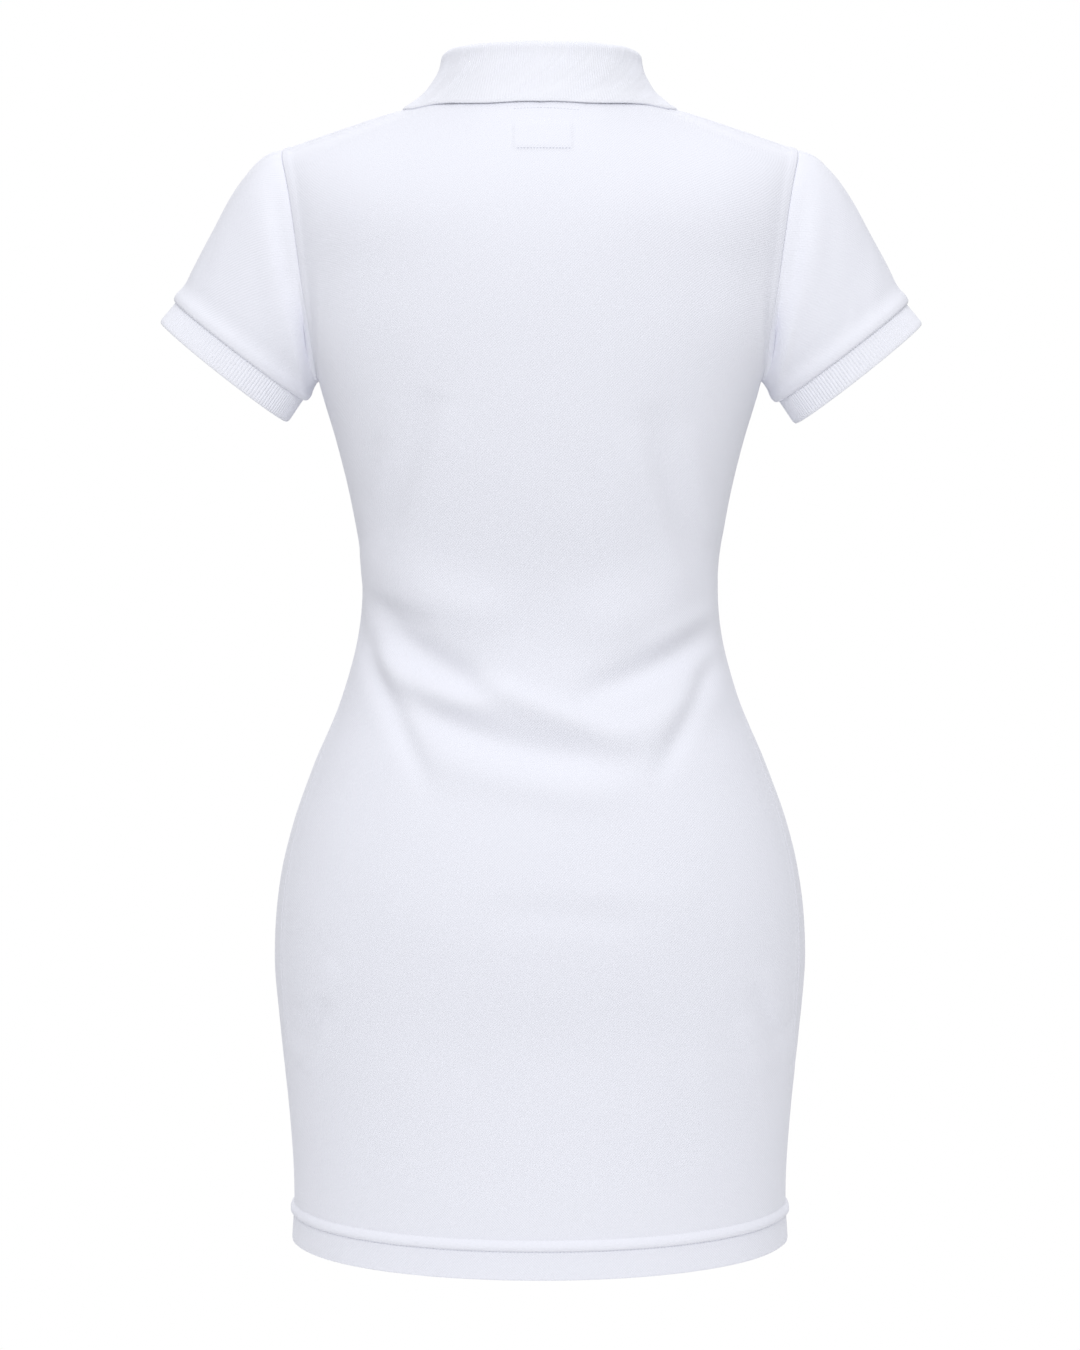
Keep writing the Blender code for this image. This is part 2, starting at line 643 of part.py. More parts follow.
def collar_profile(turns, side):
    """Rows of points from the neck seam up the stand, over the fold and down the leaf.

    These are the face that shows: inside the neck on the stand, outside on the leaf.
    """
    base = neckline(turns)
    out = np.stack([np.sin(np.radians(turns)), np.cos(np.radians(turns)), 0 * turns], axis=-1)
    up = np.array([0, 0, 1.0])
    stand = column(COLLAR_CUTS, "stand", turns)[:, None]
    lean = column(COLLAR_CUTS, "lean", turns)[:, None]
    names = ("edge_x", "edge_y", "edge_z")
    edge = np.stack([column(COLLAR_CUTS, name, turns) for name in names], axis=-1)
    bow = column(COLLAR_CUTS, "bow", turns)[:, None]
    foot = base + up * COLLAR_SEAM_LIFT - out * COLLAR_SEAM_IN
    crest = foot + up * stand - out * lean
    radius = COLLAR_FOLD_RADIUS
    rows = [foot, blend(foot, crest, 0.5) - out * COLLAR_STAND_HOLLOW]
    leaf_start = crest + out * 2 * radius
    down = unit(edge - leaf_start)
    for angle in COLLAR_FOLD_TURNS:
        a = math.radians(angle)
        rows.append(crest + out * radius * (1 - math.cos(a)) + up * radius * math.sin(a))
    for way in COLLAR_LEAF_WAYS:
        hollow = bow * 4 * way * (1 - way)
        sideways = unit(np.cross(np.cross(down, out), down))
        rows.append(blend(leaf_start, edge, way) - sideways * hollow)
    rows = np.array(rows) * np.array([side, 1, 1])
    rows[..., 0] += COLLAR_ASIDE * ease(rows[..., 2] / COLLAR_CUTS[0].stand)
    return rows


# ---------------------------------------------------------------- making the solids


def signed_volume(points, triangles):
    corners = points[triangles]
    return np.einsum("ij,ij->i", corners[:, 0], np.cross(corners[:, 1], corners[:, 2])).sum() / 6


def triangulated(faces):
    pairs = [(face[0], face[i], face[i + 1]) for face in faces for i in range(1, len(face) - 1)]
    return np.array(pairs)


def make_object(name, points, faces, colour, roughness=0.85):
    """A mesh object with outward faces, smooth shading and its own material."""
    points = np.asarray(points, float)
    if signed_volume(points, triangulated(faces)) < 0:
        faces = [face[::-1] for face in faces]
    mesh = bpy.data.meshes.new(name)
    mesh.from_pydata((points * MM).tolist(), [], [list(map(int, face)) for face in faces])
    mesh.update()
    mesh.shade_smooth()
    mesh.set_sharp_from_angle(angle=math.radians(50))
    material = bpy.data.materials.new(name + "_cloth")
    material.use_nodes = True
    shader = material.node_tree.nodes["Principled BSDF"]
    shader.inputs["Base Color"].default_value = colour
    shader.inputs["Roughness"].default_value = roughness
    shader.inputs["Metallic"].default_value = 0.0
    material.diffuse_color = colour
    mesh.materials.append(material)
    obj = bpy.data.objects.new(name, mesh)
    DRESS.objects.link(obj)
    return obj


def wall(name, outer, inner, colour, closed=False, missing=None):
    """A wall between two grids of the same size, with its rims.

    closed joins the last column to the first. missing marks quads that are cut out.
    """
    rows, columns = outer.shape[:2]
    quads = columns if closed else columns - 1
    there = np.ones((rows - 1, quads), bool)
    if missing is not None:
        there &= ~missing
    count = rows * columns

    def at(row, column_, face):
        return face * count + row * columns + column_ % columns

    def halves(row, c, face):
        """The two triangles of a quad, split the mirrored way on the other side."""
        a = at(row, c, face)
        b = at(row, c + 1, face)
        d = at(row + 1, c, face)
        e = at(row + 1, c + 1, face)
        pair = [(a, b, d), (b, e, d)] if c < quads / 2 else [(a, b, e), (a, e, d)]
        return pair if face == 0 else [triangle[::-1] for triangle in pair]

    points = np.concatenate([outer.reshape(-1, 3), inner.reshape(-1, 3)])

    def rim(start, end):
        """Two triangles across the wall's edge, split from its lower outer corner.

        Both pieces at a seam split it alike, so that their edges follow each other.
        """
        a, b = at(*start, 0), at(*end, 0)
        d, e = at(*start, 1), at(*end, 1)
        if points[a, 2] < points[b, 2]:
            return [(a, b, e), (a, e, d)]
        return [(a, b, d), (b, e, d)]

    faces = []
    for row in range(rows - 1):
        for c in range(quads):
            if not there[row, c]:
                continue
            faces += halves(row, c, 0) + halves(row, c, 1)
            left = (c - 1) % columns if closed else c - 1
            right = (c + 1) % columns if closed else c + 1
            if row == 0 or not there[row - 1, c]:
                faces += rim((row, c + 1), (row, c))
            if row == rows - 2 or not there[row + 1, c]:
                faces += rim((row + 1, c), (row + 1, c + 1))
            if left < 0 or not there[row, left]:
                faces += rim((row, c), (row + 1, c))
            if right >= quads or not there[row, right]:
                faces += rim((row + 1, c + 1), (row, c + 1))
    used = sorted({index for face in faces for index in face})
    renumber = {old: new for new, old in enumerate(used)}
    faces = [tuple(renumber[index] for index in face) for face in faces]
    return make_object(name, points[used], faces, colour)


def zip_loops(fine, coarse, per_coarse, closed):
    """Triangles between a finely divided edge and a coarse one beside it."""
    faces = []
    spans = len(coarse) if closed else len(coarse) - 1
    for span in range(spans):
        start = span * per_coarse
        a = coarse[span]
        b = coarse[(span + 1) % len(coarse)]
        half = per_coarse // 2
        for step in range(per_coarse):
            first = fine[(start + step) % len(fine)]
            second = fine[(start + step + 1) % len(fine)]
            faces.append((first, second, a if step < half else b))
        turning = fine[(start + half) % len(fine)]
        faces.append((a, turning, b))
    return faces


def ribbed_tube(name, outer, inner, colour):
    """A cuff: finely ribbed rings outside, plain rings inside."""
    fine = outer.shape[1]
    plain = inner.shape[1]
    per_plain = fine // plain
    outer_index = np.arange(2 * fine).reshape(2, fine)
    inner_index = 2 * fine + np.arange(2 * plain).reshape(2, plain)
    faces = []
    for c in range(fine):
        d = (c + 1) % fine
        faces.append((outer_index[0, c], outer_index[1, c], outer_index[1, d], outer_index[0, d]))
    for c in range(plain):
        d = (c + 1) % plain
        faces.append((inner_index[0, c], inner_index[0, d], inner_index[1, d], inner_index[1, c]))
    for end in (0, 1):
        rim = zip_loops(outer_index[end], inner_index[end], per_plain, closed=True)
        faces += rim if end == 0 else [face[::-1] for face in rim]
    points = np.concatenate([outer.reshape(-1, 3), inner.reshape(-1, 3)])
    return make_object(name, points, faces, colour)


def panel_inner(panel):
    """The inner face of the back or front, further in along the doubled hem band."""
    z = panel.points[..., 2]
    band = ease((HEM_Z + HEM_RIDGE_ABOVE + HEM_RIDGE_WIDTH - z) / HEM_RIDGE_WIDTH)
    thickness = CLOTH + HEM_BAND_EXTRA * band + hem_relief(z) * 0.6
    return panel.points - panel.facing * thickness[..., None]


def make_panels_and_sleeves():
    """Back, front, sleeves and cuffs. Returns the two panels for what lies on them."""
    back = body_panel(True)
    front = body_panel(False)
    share_seams([back, front])
    add_relief(back, True)
    add_relief(front, False)
    left = sleeve(back, front, 1)
    right = sleeve(back, front, -1)
    share_seams([back, front, left, right])
    for panel in (back, front):
        at_shoulder = np.abs(panel.points[0, :, 0]) > NECK_HALF - 0.01
        panel.draw_back_first_row(where=at_shoulder[:, None])
        panel.draw_back_sides(away_from_body=-1.0)
    wall("back_panel", back.points, panel_inner(back), CLOTH_WHITE)
    wall("front_panel", front.points, panel_inner(front), CLOTH_WHITE, missing=slot_quads(front))
    for name, cloth in (("left", left), ("right", right)):
        cloth.draw_back_first_row(away_from_body=1.0)
        wall("sleeve_" + name, cloth.points, cloth.moved_out(-CLOTH), CLOTH_WHITE, closed=True)
    for name, side in (("left", 1), ("right", -1)):
        outer, inner = cuff_rings(side)
        ribbed_tube("cuff_" + name, outer, inner, RIB_WHITE)
    return back, front


def slot_quads(front):
    """The quads of the front that the placket's slot removes."""
    rows, columns = front.points.shape[:2]
    missing = np.zeros((rows - 1, columns - 1), bool)
    middle = columns // 2
    last_row = len(UPPER_ROWS) - 1
    missing[:last_row, middle - 1 : middle + 1] = True
    return missing


def front_strip(half_width, bottom_z, lift, thickness, columns, rows):
    """Outer and inner grids of a strip that follows the front's middle."""
    x = np.linspace(half_width, -half_width, columns)
    _, top = top_edge(x, False)
    z = np.array([blend(top, bottom_z, way) for way in np.linspace(0, 1, rows)])
    x = np.broadcast_to(x, z.shape)
    grid = np.stack([x, front_surface(x, z), z], axis=-1)
    cloth = Cloth(grid, outwards=np.array([0, -1.0, 0]))
    return cloth.moved_out(lift + thickness), cloth.moved_out(lift)


def front_surface(x, z):
    """Depth of the front near its middle, above and below the underarm."""
    above = upper_y(x, np.maximum(z, UNDERARM_Z), False)
    half = half_width_at(z)
    power = power_at(z)
    below = -column(SECTIONS, "front", z) * (1 - (np.abs(x) / half) ** power) ** (1 / power)
    flat = np.where(z >= UNDERARM_Z, above, below)
    return flat - bust_relief(x, z) * below_shoulder(x, z)


def make_placket():
    """The two strips of the placket and its buttons, fastened."""
    over_outer, over_inner = front_strip(
        PLACKET_HALF, PLACKET_END_Z, PLACKET_LIFT, PLACKET_CLOTH, columns=7, rows=14
    )
    wall("placket_over", over_outer, over_inner, CLOTH_WHITE)
    under_outer, under_inner = front_strip(
        PLACKET_UNDER_HALF, PLACKET_UNDER_END_Z, -CLOTH, CLOTH, columns=5, rows=12
    )
    wall("placket_under", under_outer, under_inner, CLOTH_WHITE)
    for number, z in enumerate(BUTTON_HEIGHTS, start=1):
        make_button(f"button_{number}", z, PLACKET_LIFT + PLACKET_CLOTH + REST_GAP)


def make_button(name, z, lift):
    """A flat round button lying on the placket at the height z."""
    low_y, y, high_y = front_surface(np.zeros(3), z + np.array([-4.0, 0, 4.0]))
    slope = math.atan2(high_y - low_y, 8.0)
    facing = np.array([0, -math.cos(slope), math.sin(slope)])
    centre = np.array([0, y, z]) + facing * lift
    along = np.array([0, math.sin(slope), math.cos(slope)])
    across = np.array([1.0, 0, 0])
    rings = (
        (BUTTON_RADIUS - BUTTON_RIM, 0.0),
        (BUTTON_RADIUS, BUTTON_RIM),
        (BUTTON_RADIUS, BUTTON_THICK - BUTTON_RIM),
        (BUTTON_RADIUS - BUTTON_RIM, BUTTON_THICK),
        (BUTTON_RADIUS - BUTTON_DISH_RIM, BUTTON_THICK - BUTTON_DISH),
    )
    sides = BUTTON_SIDES
    turn = 2 * math.pi * np.arange(sides) / sides
    circle = np.cos(turn)[:, None] * across + np.sin(turn)[:, None] * along
    points = np.concatenate([centre + circle * radius + facing * height for radius, height in rings])
    faces = []
    for ring in range(len(rings) - 1):
        for c in range(sides):
            d = (c + 1) % sides
            low = ring * sides
            high = low + sides
            faces.append((low + c, low + d, high + d, high + c))
    faces.append(tuple(range(sides))[::-1])
    faces.append(tuple((len(rings) - 1) * sides + c for c in range(sides)))
    make_object(name, points, faces, BUTTON_WHITE, roughness=0.35)


def make_collar():
    """The collar: fine ribs on the leaf's outer face, plain everywhere else."""
    last = COLLAR_CUTS[-1].turn
    half = COLLAR_PLAIN_COLUMNS // 2
    dense = np.linspace(0, last, 200)
    run = neckline(dense)
    length = np.concatenate([[0], np.cumsum(np.linalg.norm(np.diff(run, axis=0), axis=1))])
    per_plain = 2 * round(2 * length[-1] / COLLAR_RIB_PITCH / COLLAR_PLAIN_COLUMNS)

    def whole(divisions):
        turns = np.interp(np.linspace(0, length[-1], divisions + 1), length, dense)
        left = collar_profile(turns, 1)
        right = collar_profile(turns, -1)
        return np.concatenate([left[:, ::-1], right[:, 1:]], axis=1)

    plain = Cloth(whole(half))
    fine = Cloth(whole(half * per_plain))
    leaf_from = COLLAR_STAND_ROWS + len(COLLAR_FOLD_TURNS)
    if plain.facing[-1, half, 1] < 0:
        plain.facing = -plain.facing
        fine.facing = -fine.facing
    rib = COLLAR_RIB_HEIGHT * (np.arange(fine.points.shape[1]) % 2)
    leaf = fine.points[leaf_from:] + fine.facing[leaf_from:] * rib[None, :, None]
    shown = plain.points[:leaf_from]
    hidden = plain.moved_out(-RIB_CLOTH)
    build_collar_mesh(shown, leaf, hidden, per_plain)


def build_collar_mesh(shown, leaf, hidden, per_plain):
    """Joins the plain rows, the ribbed leaf and the hidden face of the collar."""
    plain_rows, plain_columns = shown.shape[:2]
    leaf_rows, leaf_columns = leaf.shape[:2]
    hidden_rows = hidden.shape[0]
    shown_at = np.arange(plain_rows * plain_columns).reshape(plain_rows, plain_columns)
    leaf_at = shown_at.size + np.arange(leaf_rows * leaf_columns).reshape(leaf_rows, leaf_columns)
    hidden_start = shown_at.size + leaf_at.size
    hidden_at = hidden_start + np.arange(hidden_rows * plain_columns).reshape(hidden_rows, plain_columns)
    faces = grid_faces(shown_at) + grid_faces(leaf_at) + grid_faces(hidden_at[:, ::-1])
    under_fold = zip_loops(leaf_at[0], shown_at[-1], per_plain, closed=False)
    faces += [face[::-1] for face in under_fold]
    faces += zip_loops(leaf_at[-1], hidden_at[-1], per_plain, closed=False)
    faces += grid_faces(np.stack([hidden_at[0], shown_at[0]]))
    for edge in (0, -1):
        rim = list(shown_at[:, edge]) + list(leaf_at[:, edge])
        other = list(hidden_at[:, edge])
        for row in range(hidden_rows - 1):
            face = (rim[row], rim[row + 1], other[row + 1], other[row])
            faces.append(face if edge == 0 else face[::-1])
    points = np.concatenate([shown.reshape(-1, 3), leaf.reshape(-1, 3), hidden.reshape(-1, 3)])
    make_object("collar", points, faces, RIB_WHITE)


def grid_faces(index):
    rows, columns = index.shape
    return [
        (index[r, c], index[r, c + 1], index[r + 1, c + 1], index[r + 1, c])
        for r in range(rows - 1)
        for c in range(columns - 1)
    ]


def make_label():
    """The plain neck label, flat against the inside of the back."""
    x = LABEL_X + np.linspace(LABEL_HALF_WIDTH, -LABEL_HALF_WIDTH, LABEL_COLUMNS)
    z = LABEL_TOP_Z - LABEL_HEIGHT * np.linspace(0, 1, LABEL_ROWS)
    x, z = np.meshgrid(x, z)
    grid = np.stack([x, upper_y(x, z, True), z], axis=-1)
    cloth = Cloth(grid, outwards=np.array([0, 1.0, 0]))
    near = CLOTH + LABEL_CLEAR
    wall("neck_label", cloth.moved_out(-near), cloth.moved_out(-near - LABEL_THICK), CLOTH_WHITE)


def clear_scene():
    for obj in list(bpy.data.objects):
        bpy.data.objects.remove(obj)


clear_scene()
DRESS = bpy.data.collections.new("polo_dress")
bpy.context.scene.collection.children.link(DRESS)
make_panels_and_sleeves()
make_placket()
make_collar()
make_label()
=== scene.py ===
"""The looks of a white short-sleeved polo dress, filled out on an invisible form.

Shapes are worked out in millimetres, in the frame of the part: +Z is up, the front faces
-Y and +X is the wearer's left. The origin lies midway between the two side-neck points.
Each piece of cloth is a wall between two grids of points, whose edges are rolled in, so
that a seam shows as a fine groove and a free edge as a rounded one.
"""

from __future__ import annotations

import logging
import math
from dataclasses import dataclass, field
from enum import Enum
from typing import NamedTuple, Optional, Sequence

import bpy
import numpy as np
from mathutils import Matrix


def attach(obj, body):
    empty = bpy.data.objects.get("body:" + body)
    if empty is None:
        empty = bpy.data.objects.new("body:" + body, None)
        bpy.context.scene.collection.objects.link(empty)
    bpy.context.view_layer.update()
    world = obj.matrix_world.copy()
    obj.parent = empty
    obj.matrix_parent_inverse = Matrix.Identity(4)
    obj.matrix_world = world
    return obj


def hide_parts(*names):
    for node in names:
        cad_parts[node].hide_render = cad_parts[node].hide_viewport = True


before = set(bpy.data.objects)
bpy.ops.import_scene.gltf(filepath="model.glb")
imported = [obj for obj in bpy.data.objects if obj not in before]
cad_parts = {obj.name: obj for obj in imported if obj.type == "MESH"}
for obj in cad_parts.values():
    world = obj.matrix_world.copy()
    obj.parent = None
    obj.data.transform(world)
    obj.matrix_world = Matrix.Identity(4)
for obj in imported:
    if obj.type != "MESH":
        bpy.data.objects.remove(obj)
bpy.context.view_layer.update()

logging.basicConfig(level=logging.INFO, format="%(message)s")
LOG = logging.getLogger("polo_dress")

Array = np.ndarray
MM = 0.001
UP = np.array([0.0, 0.0, 1.0])
BACKWARDS = np.array([0.0, 1.0, 0.0])
# Uneven cloth is a sum of waves. The nth after the first has its length divided by
# 1 + n * WAVES_SHORTEN and its height divided by 1 + n * WAVES_LOWER, and their sum
# seldom passes WAVES_REACH.
WAVES_SHORTEN = 0.45
WAVES_LOWER = 0.5
WAVES_REACH = 2.4


# ---------------------------------------------------------------- curves and grids


def ease(t: Array) -> Array:
    """0 below 0, 1 above 1 and the smooth step 3t^2 - 2t^3 between."""
    t = np.clip(t, 0.0, 1.0)
    return t * t * (3 - 2 * t)


def blend(a: Array, b: Array, t: Array) -> Array:
    """The value that lies the share t of the way from a to b."""
    return a + (b - a) * t


def bell(away: Array, width: float) -> Array:
    """A soft bell, 1 in the middle and 0.37 at the given width from it."""
    return np.exp(-((away / width) ** 2))


def unit(vectors: Array) -> Array:
    """Each vector divided by its own length."""
    lengths = np.linalg.norm(vectors, axis=-1, keepdims=True)
    return vectors / np.maximum(lengths, 1e-9)


def smooth_through(knots: Sequence[float], values: Sequence[float], at: Array) -> Array:
    """Reads a cubic Hermite curve through all the knots.

    Args:
        knots: increasing places along the curve.
        values: its value at each of them.
        at: the places to read it at.

    Returns:
        The curve's values, with the end ones beyond its ends.
    """
    knots = np.asarray(knots, float)
    values = np.asarray(values, float)
    return hermite(knots, values, np.gradient(values, knots), np.clip(at, knots[0], knots[-1]))


def hermite(knots: Array, values: Array, slopes: Array, at: Array) -> Array:
    """A cubic between each two knots that has their values and slopes.

    Args:
        knots: increasing places, one for each row of values.
        values: the first axis follows the knots.
        slopes: the change of the values for a unit of place, or a pair of them, one to use
            before each knot and one after it.
        at: the places to read it at.

    Returns:
        One row of values for each place.
    """
    before, after = slopes if isinstance(slopes, tuple) else (slopes, slopes)
    left = np.clip(np.searchsorted(knots, at, side="right") - 1, 0, len(knots) - 2)
    span = knots[left + 1] - knots[left]
    t = (at - knots[left]) / span
    shape = np.shape(t) + (1,) * (values.ndim - 1)
    t = np.reshape(t, shape)
    span = np.reshape(span, shape)
    start = (1 + 2 * t) * (1 - t) ** 2 * values[left]
    start_slope = t * (1 - t) ** 2 * span * after[left]
    end = t * t * (3 - 2 * t) * values[left + 1]
    end_slope = t * t * (t - 1) * span * before[left + 1]
    return start + start_slope + end + end_slope


def refined(values: Array, at: Array, corners: Sequence[int], sharpness: Array) -> Array:
    """More rows through the same ones, smooth everywhere but at the named corners.

    Args:
        values: rows of points, one for each whole number of place.
        at: the places of the wanted rows.
        corners: rows at which the curve may turn sharply.
        sharpness: for each column, 1 for a sharp corner and 0 for none.

    Returns:
        The wanted rows. Slopes are the mean of those of the spans on both sides, and at a
        corner each side keeps its own, by the sharpness.
    """
    knots = np.arange(len(values), dtype=float)
    middle = np.gradient(values, axis=0)
    before = middle.copy()
    after = middle.copy()
    share = np.reshape(sharpness, np.shape(sharpness) + (1,) * (values.ndim - 2))
    for corner in corners:
        came = values[corner] - values[corner - 1]
        goes = values[corner + 1] - values[corner]
        before[corner] = blend(middle[corner], came, share)
        after[corner] = blend(middle[corner], goes, share)
    return hermite(knots, values, (before, after), at)


def spline(values: Array, at: Array) -> Array:
    """A natural cubic spline through rows of points, spaced by their mean distance.

    Args:
        values: rows of points.
        at: shares from 0 at the first row to 1 at the last.

    Returns:
        The rows of points at those shares. The slopes solve the spline's own equations, so
        that the curve bends evenly through each row.
    """
    steps = np.linalg.norm(np.diff(values, axis=0), axis=-1).mean(axis=1)
    knots = np.concatenate([[0.0], np.cumsum(steps)])
    count = len(knots)
    system = np.zeros((count, count))
    wanted = np.zeros_like(values)
    rates = np.diff(values, axis=0) / steps[:, None, None]
    for row in range(1, count - 1):
        system[row, row - 1] = steps[row]
        system[row, row] = 2 * (steps[row - 1] + steps[row])
        system[row, row + 1] = steps[row - 1]
        wanted[row] = 3 * (rates[row - 1] * steps[row] + rates[row] * steps[row - 1])
    system[0, :2] = (2, 1)
    system[-1, -2:] = (1, 2)
    wanted[0] = 3 * rates[0]
    wanted[-1] = 3 * rates[-1]
    slopes = np.linalg.solve(system, wanted.reshape(count, -1)).reshape(values.shape)
    return hermite(knots, values, slopes, at * knots[-1])


def facing_of(points: Array, closed: bool, outwards: Array) -> Array:
    """The direction in which a grid faces at each point: the cross product of its steps."""
    if closed:
        wrapped = np.concatenate([points[:, -1:], points, points[:, :1]], axis=1)
        along = np.gradient(wrapped, axis=1)[:, 1:-1]
    else:
        along = np.gradient(points, axis=1)
    facing = unit(np.cross(along, np.gradient(points, axis=0)))
    return -facing if np.sum(facing * outwards) < 0 else facing


def run_along(points: Array, axis: int) -> Array:
    """Distance along each row (axis 1) or column (axis 0) of a grid from its start."""
    steps = np.linalg.norm(np.diff(points, axis=axis), axis=-1)
    start = np.zeros_like(np.take(steps, [0], axis=axis))
    return np.concatenate([start, np.cumsum(steps, axis=axis)], axis=axis)


def rolled(away: Array, radius: float) -> Array:
    """How deep a rounded edge has dropped at this distance from it: a quarter circle."""
    short = np.clip(radius - away, 0, radius)
    return radius - np.sqrt(radius**2 - short**2)


def ripples(u: Array, v: Array, seed: int, longest: float, count: int = 7) -> Array:
    """Gentle unevenness: a sum of waves of random direction, each shorter and lower.

    Args:
        u, v: where on the cloth, in millimetres.
        seed: which set of waves.
        longest: length of the longest wave, in millimetres.
        count: how many waves.

    Returns:
        A height between about -1 and 1.
    """
    chance = np.random.default_rng(seed)
    total = np.zeros(np.broadcast(u, v).shape)
    for number in range(count):
        length = longest / (1 + WAVES_SHORTEN * number)
        turn = chance.uniform(0, math.pi)
        phase = chance.uniform(0, 2 * math.pi)
        wave = np.sin(2 * math.pi * (u * math.cos(turn) + v * math.sin(turn)) / length + phase)
        total += wave / (1 + WAVES_LOWER * number)
    return total / WAVES_REACH


# ---------------------------------------------------------------- meshes


@dataclass
class MeshParts:
    """Points and faces that are gathered before they become one mesh."""

    points: list[Array] = field(default_factory=list)
    uv: list[Array] = field(default_factory=list)
    faces: list[Array] = field(default_factory=list)
    count: int = 0

    def add_points(self, points: Array, uv: Array) -> int:
        """Adds points with their places on the cloth, and returns the first one's index."""
        start = self.count
        self.points.append(points.reshape(-1, 3))
        self.uv.append(uv.reshape(-1, 2))
        self.count += len(self.points[-1])
        return start

    def add_faces(self, faces: Array) -> None:
        """Adds faces that all have the same number of corners."""
        self.faces.append(np.asarray(faces, np.int64).reshape(-1, faces.shape[-1]))

    def build(self, name: str, smooth_angle: float = 60.0) -> bpy.types.Object:
        """Makes the mesh object, drops unused points and turns its faces outwards."""
        points = np.concatenate(self.points)
        uv = np.concatenate(self.uv)
        corners = np.concatenate([faces.ravel() for faces in self.faces])
        totals = np.concatenate([np.full(len(f), f.shape[1]) for f in self.faces])
        used, corners = np.unique(corners, return_inverse=True)
        corners = corners.reshape(-1)
        points = points[used]
        uv = uv[used]
        starts = np.concatenate([[0], np.cumsum(totals)[:-1]])
        first = np.repeat(corners[starts], totals)
        following = np.roll(corners, -1)
        ends = starts + totals - 1
        following[ends] = corners[starts]
        volume = np.einsum("ij,ij->", points[first], np.cross(points[corners], points[following]))
        if volume < 0:
            order = np.repeat(2 * starts + totals - 1, totals) - np.arange(len(corners))
            corners = corners[order]
        mesh = bpy.data.meshes.new(name)
        mesh.vertices.add(len(points))
        mesh.vertices.foreach_set("co", (points * MM).ravel())
        mesh.loops.add(len(corners))
        mesh.loops.foreach_set("vertex_index", corners.astype(np.int32))
        mesh.polygons.add(len(totals))
        mesh.polygons.foreach_set("loop_start", starts.astype(np.int32))
        mesh.polygons.foreach_set("loop_total", totals.astype(np.int32))
        layer = mesh.uv_layers.new(name="cloth")
        layer.data.foreach_set("uv", (uv[corners] * MM).ravel())
        mesh.update(calc_edges=True)
        mesh.validate()
        mesh.shade_smooth()
        mesh.set_sharp_from_angle(angle=math.radians(smooth_angle))
        made = bpy.data.objects.new(name, mesh)
        bpy.context.scene.collection.objects.link(made)
        return made


@dataclass
class Wall:
    """A piece of cloth: a fine outer grid, a coarser inner one and the rims between.

    Attributes:
        outer: points of the face that shows, rows by columns.
        inner: points of the other face, of the same size. Only each row_step-th row and
            column_step-th column of it is used.
        uv: the place of each point on the cloth, in millimetres.
        closed: whether the last column meets the first.
        missing: coarse cells that are cut out.
    """

    outer: Array
    inner: Array
    uv: Array
    closed: bool = False
    row_step: int = 2
    column_step: int = 2
    missing: Optional[Array] = None

    def build(self, name: str) -> bpy.types.Object:
        """Makes the mesh object of the wall.

        Args:
            name: the object's name.

        Returns:
            The object. Each rim face runs along all the fine points of one coarse step and
            the two coarse points behind them.
        """
        rows, columns = self.outer.shape[:2]
        rs, cs = self.row_step, self.column_step
        cell_rows = (rows - 1) // rs
        cell_columns = (columns if self.closed else columns - 1) // cs
        there = np.ones((cell_rows, cell_columns), bool)
        if self.missing is not None:
            there &= ~self.missing
        parts = MeshParts()
        parts.add_points(self.outer, self.uv)
        inner = self.inner[::rs, ::cs]
        inner_start = parts.add_points(inner, self.uv[::rs, ::cs])
        inner_columns = inner.shape[1]

        def outer_at(row: Array, column: Array) -> Array:
            """Indices of points of the fine outer grid."""
            return row * columns + column % columns

        def inner_at(row: Array, column: Array) -> Array:
            """Indices of points of the coarse inner grid."""
            return inner_start + row * inner_columns + column % inner_columns

        fine = np.repeat(np.repeat(there, rs, axis=0), cs, axis=1)
        row, column = np.nonzero(fine)
        quads = [
            outer_at(row, column),
            outer_at(row, column + 1),
            outer_at(row + 1, column + 1),
            outer_at(row + 1, column),
        ]
        parts.add_faces(np.stack(quads, axis=1))
        row, column = np.nonzero(there)
        quads = [
            inner_at(row + 1, column),
            inner_at(row + 1, column + 1),
            inner_at(row, column + 1),
            inner_at(row, column),
        ]
        parts.add_faces(np.stack(quads, axis=1))

        def rims(cells: Array, start: tuple[int, int], end: tuple[int, int]) -> None:
            """Adds a rim face to each of the cells, from one of its corners to the next."""
            row, column = np.nonzero(cells)
            if not len(row):
                return
            count = rs if start[1] == end[1] else cs
            ring = []
            for step in range(count + 1):
                way = step / count
                down = np.rint(rs * (start[0] + (end[0] - start[0]) * way)).astype(int)
                aside = np.rint(cs * (start[1] + (end[1] - start[1]) * way)).astype(int)
                ring.append(outer_at(row * rs + down, column * cs + aside))
            ring.append(inner_at(row + end[0], column + end[1]))
            ring.append(inner_at(row + start[0], column + start[1]))
            parts.add_faces(np.stack(ring, axis=1))

        above = np.zeros_like(there)
        above[1:] = there[:-1]
        below = np.zeros_like(there)
        below[:-1] = there[1:]
        if self.closed:
            left = np.roll(there, 1, axis=1)
            right = np.roll(there, -1, axis=1)
        else:
            left = np.zeros_like(there)
            left[:, 1:] = there[:, :-1]
            right = np.zeros_like(there)
            right[:, :-1] = there[:, 1:]
        rims(there & ~above, (0, 1), (0, 0))
        rims(there & ~below, (1, 0), (1, 1))
        rims(there & ~left, (0, 0), (1, 0))
        rims(there & ~right, (1, 1), (0, 1))
        return parts.build(name)


# ---------------------------------------------------------------- finishes

# Spots of noise to a metre of cloth, which push the threads off their straight lines.
WANDER_SCALE = 160.0


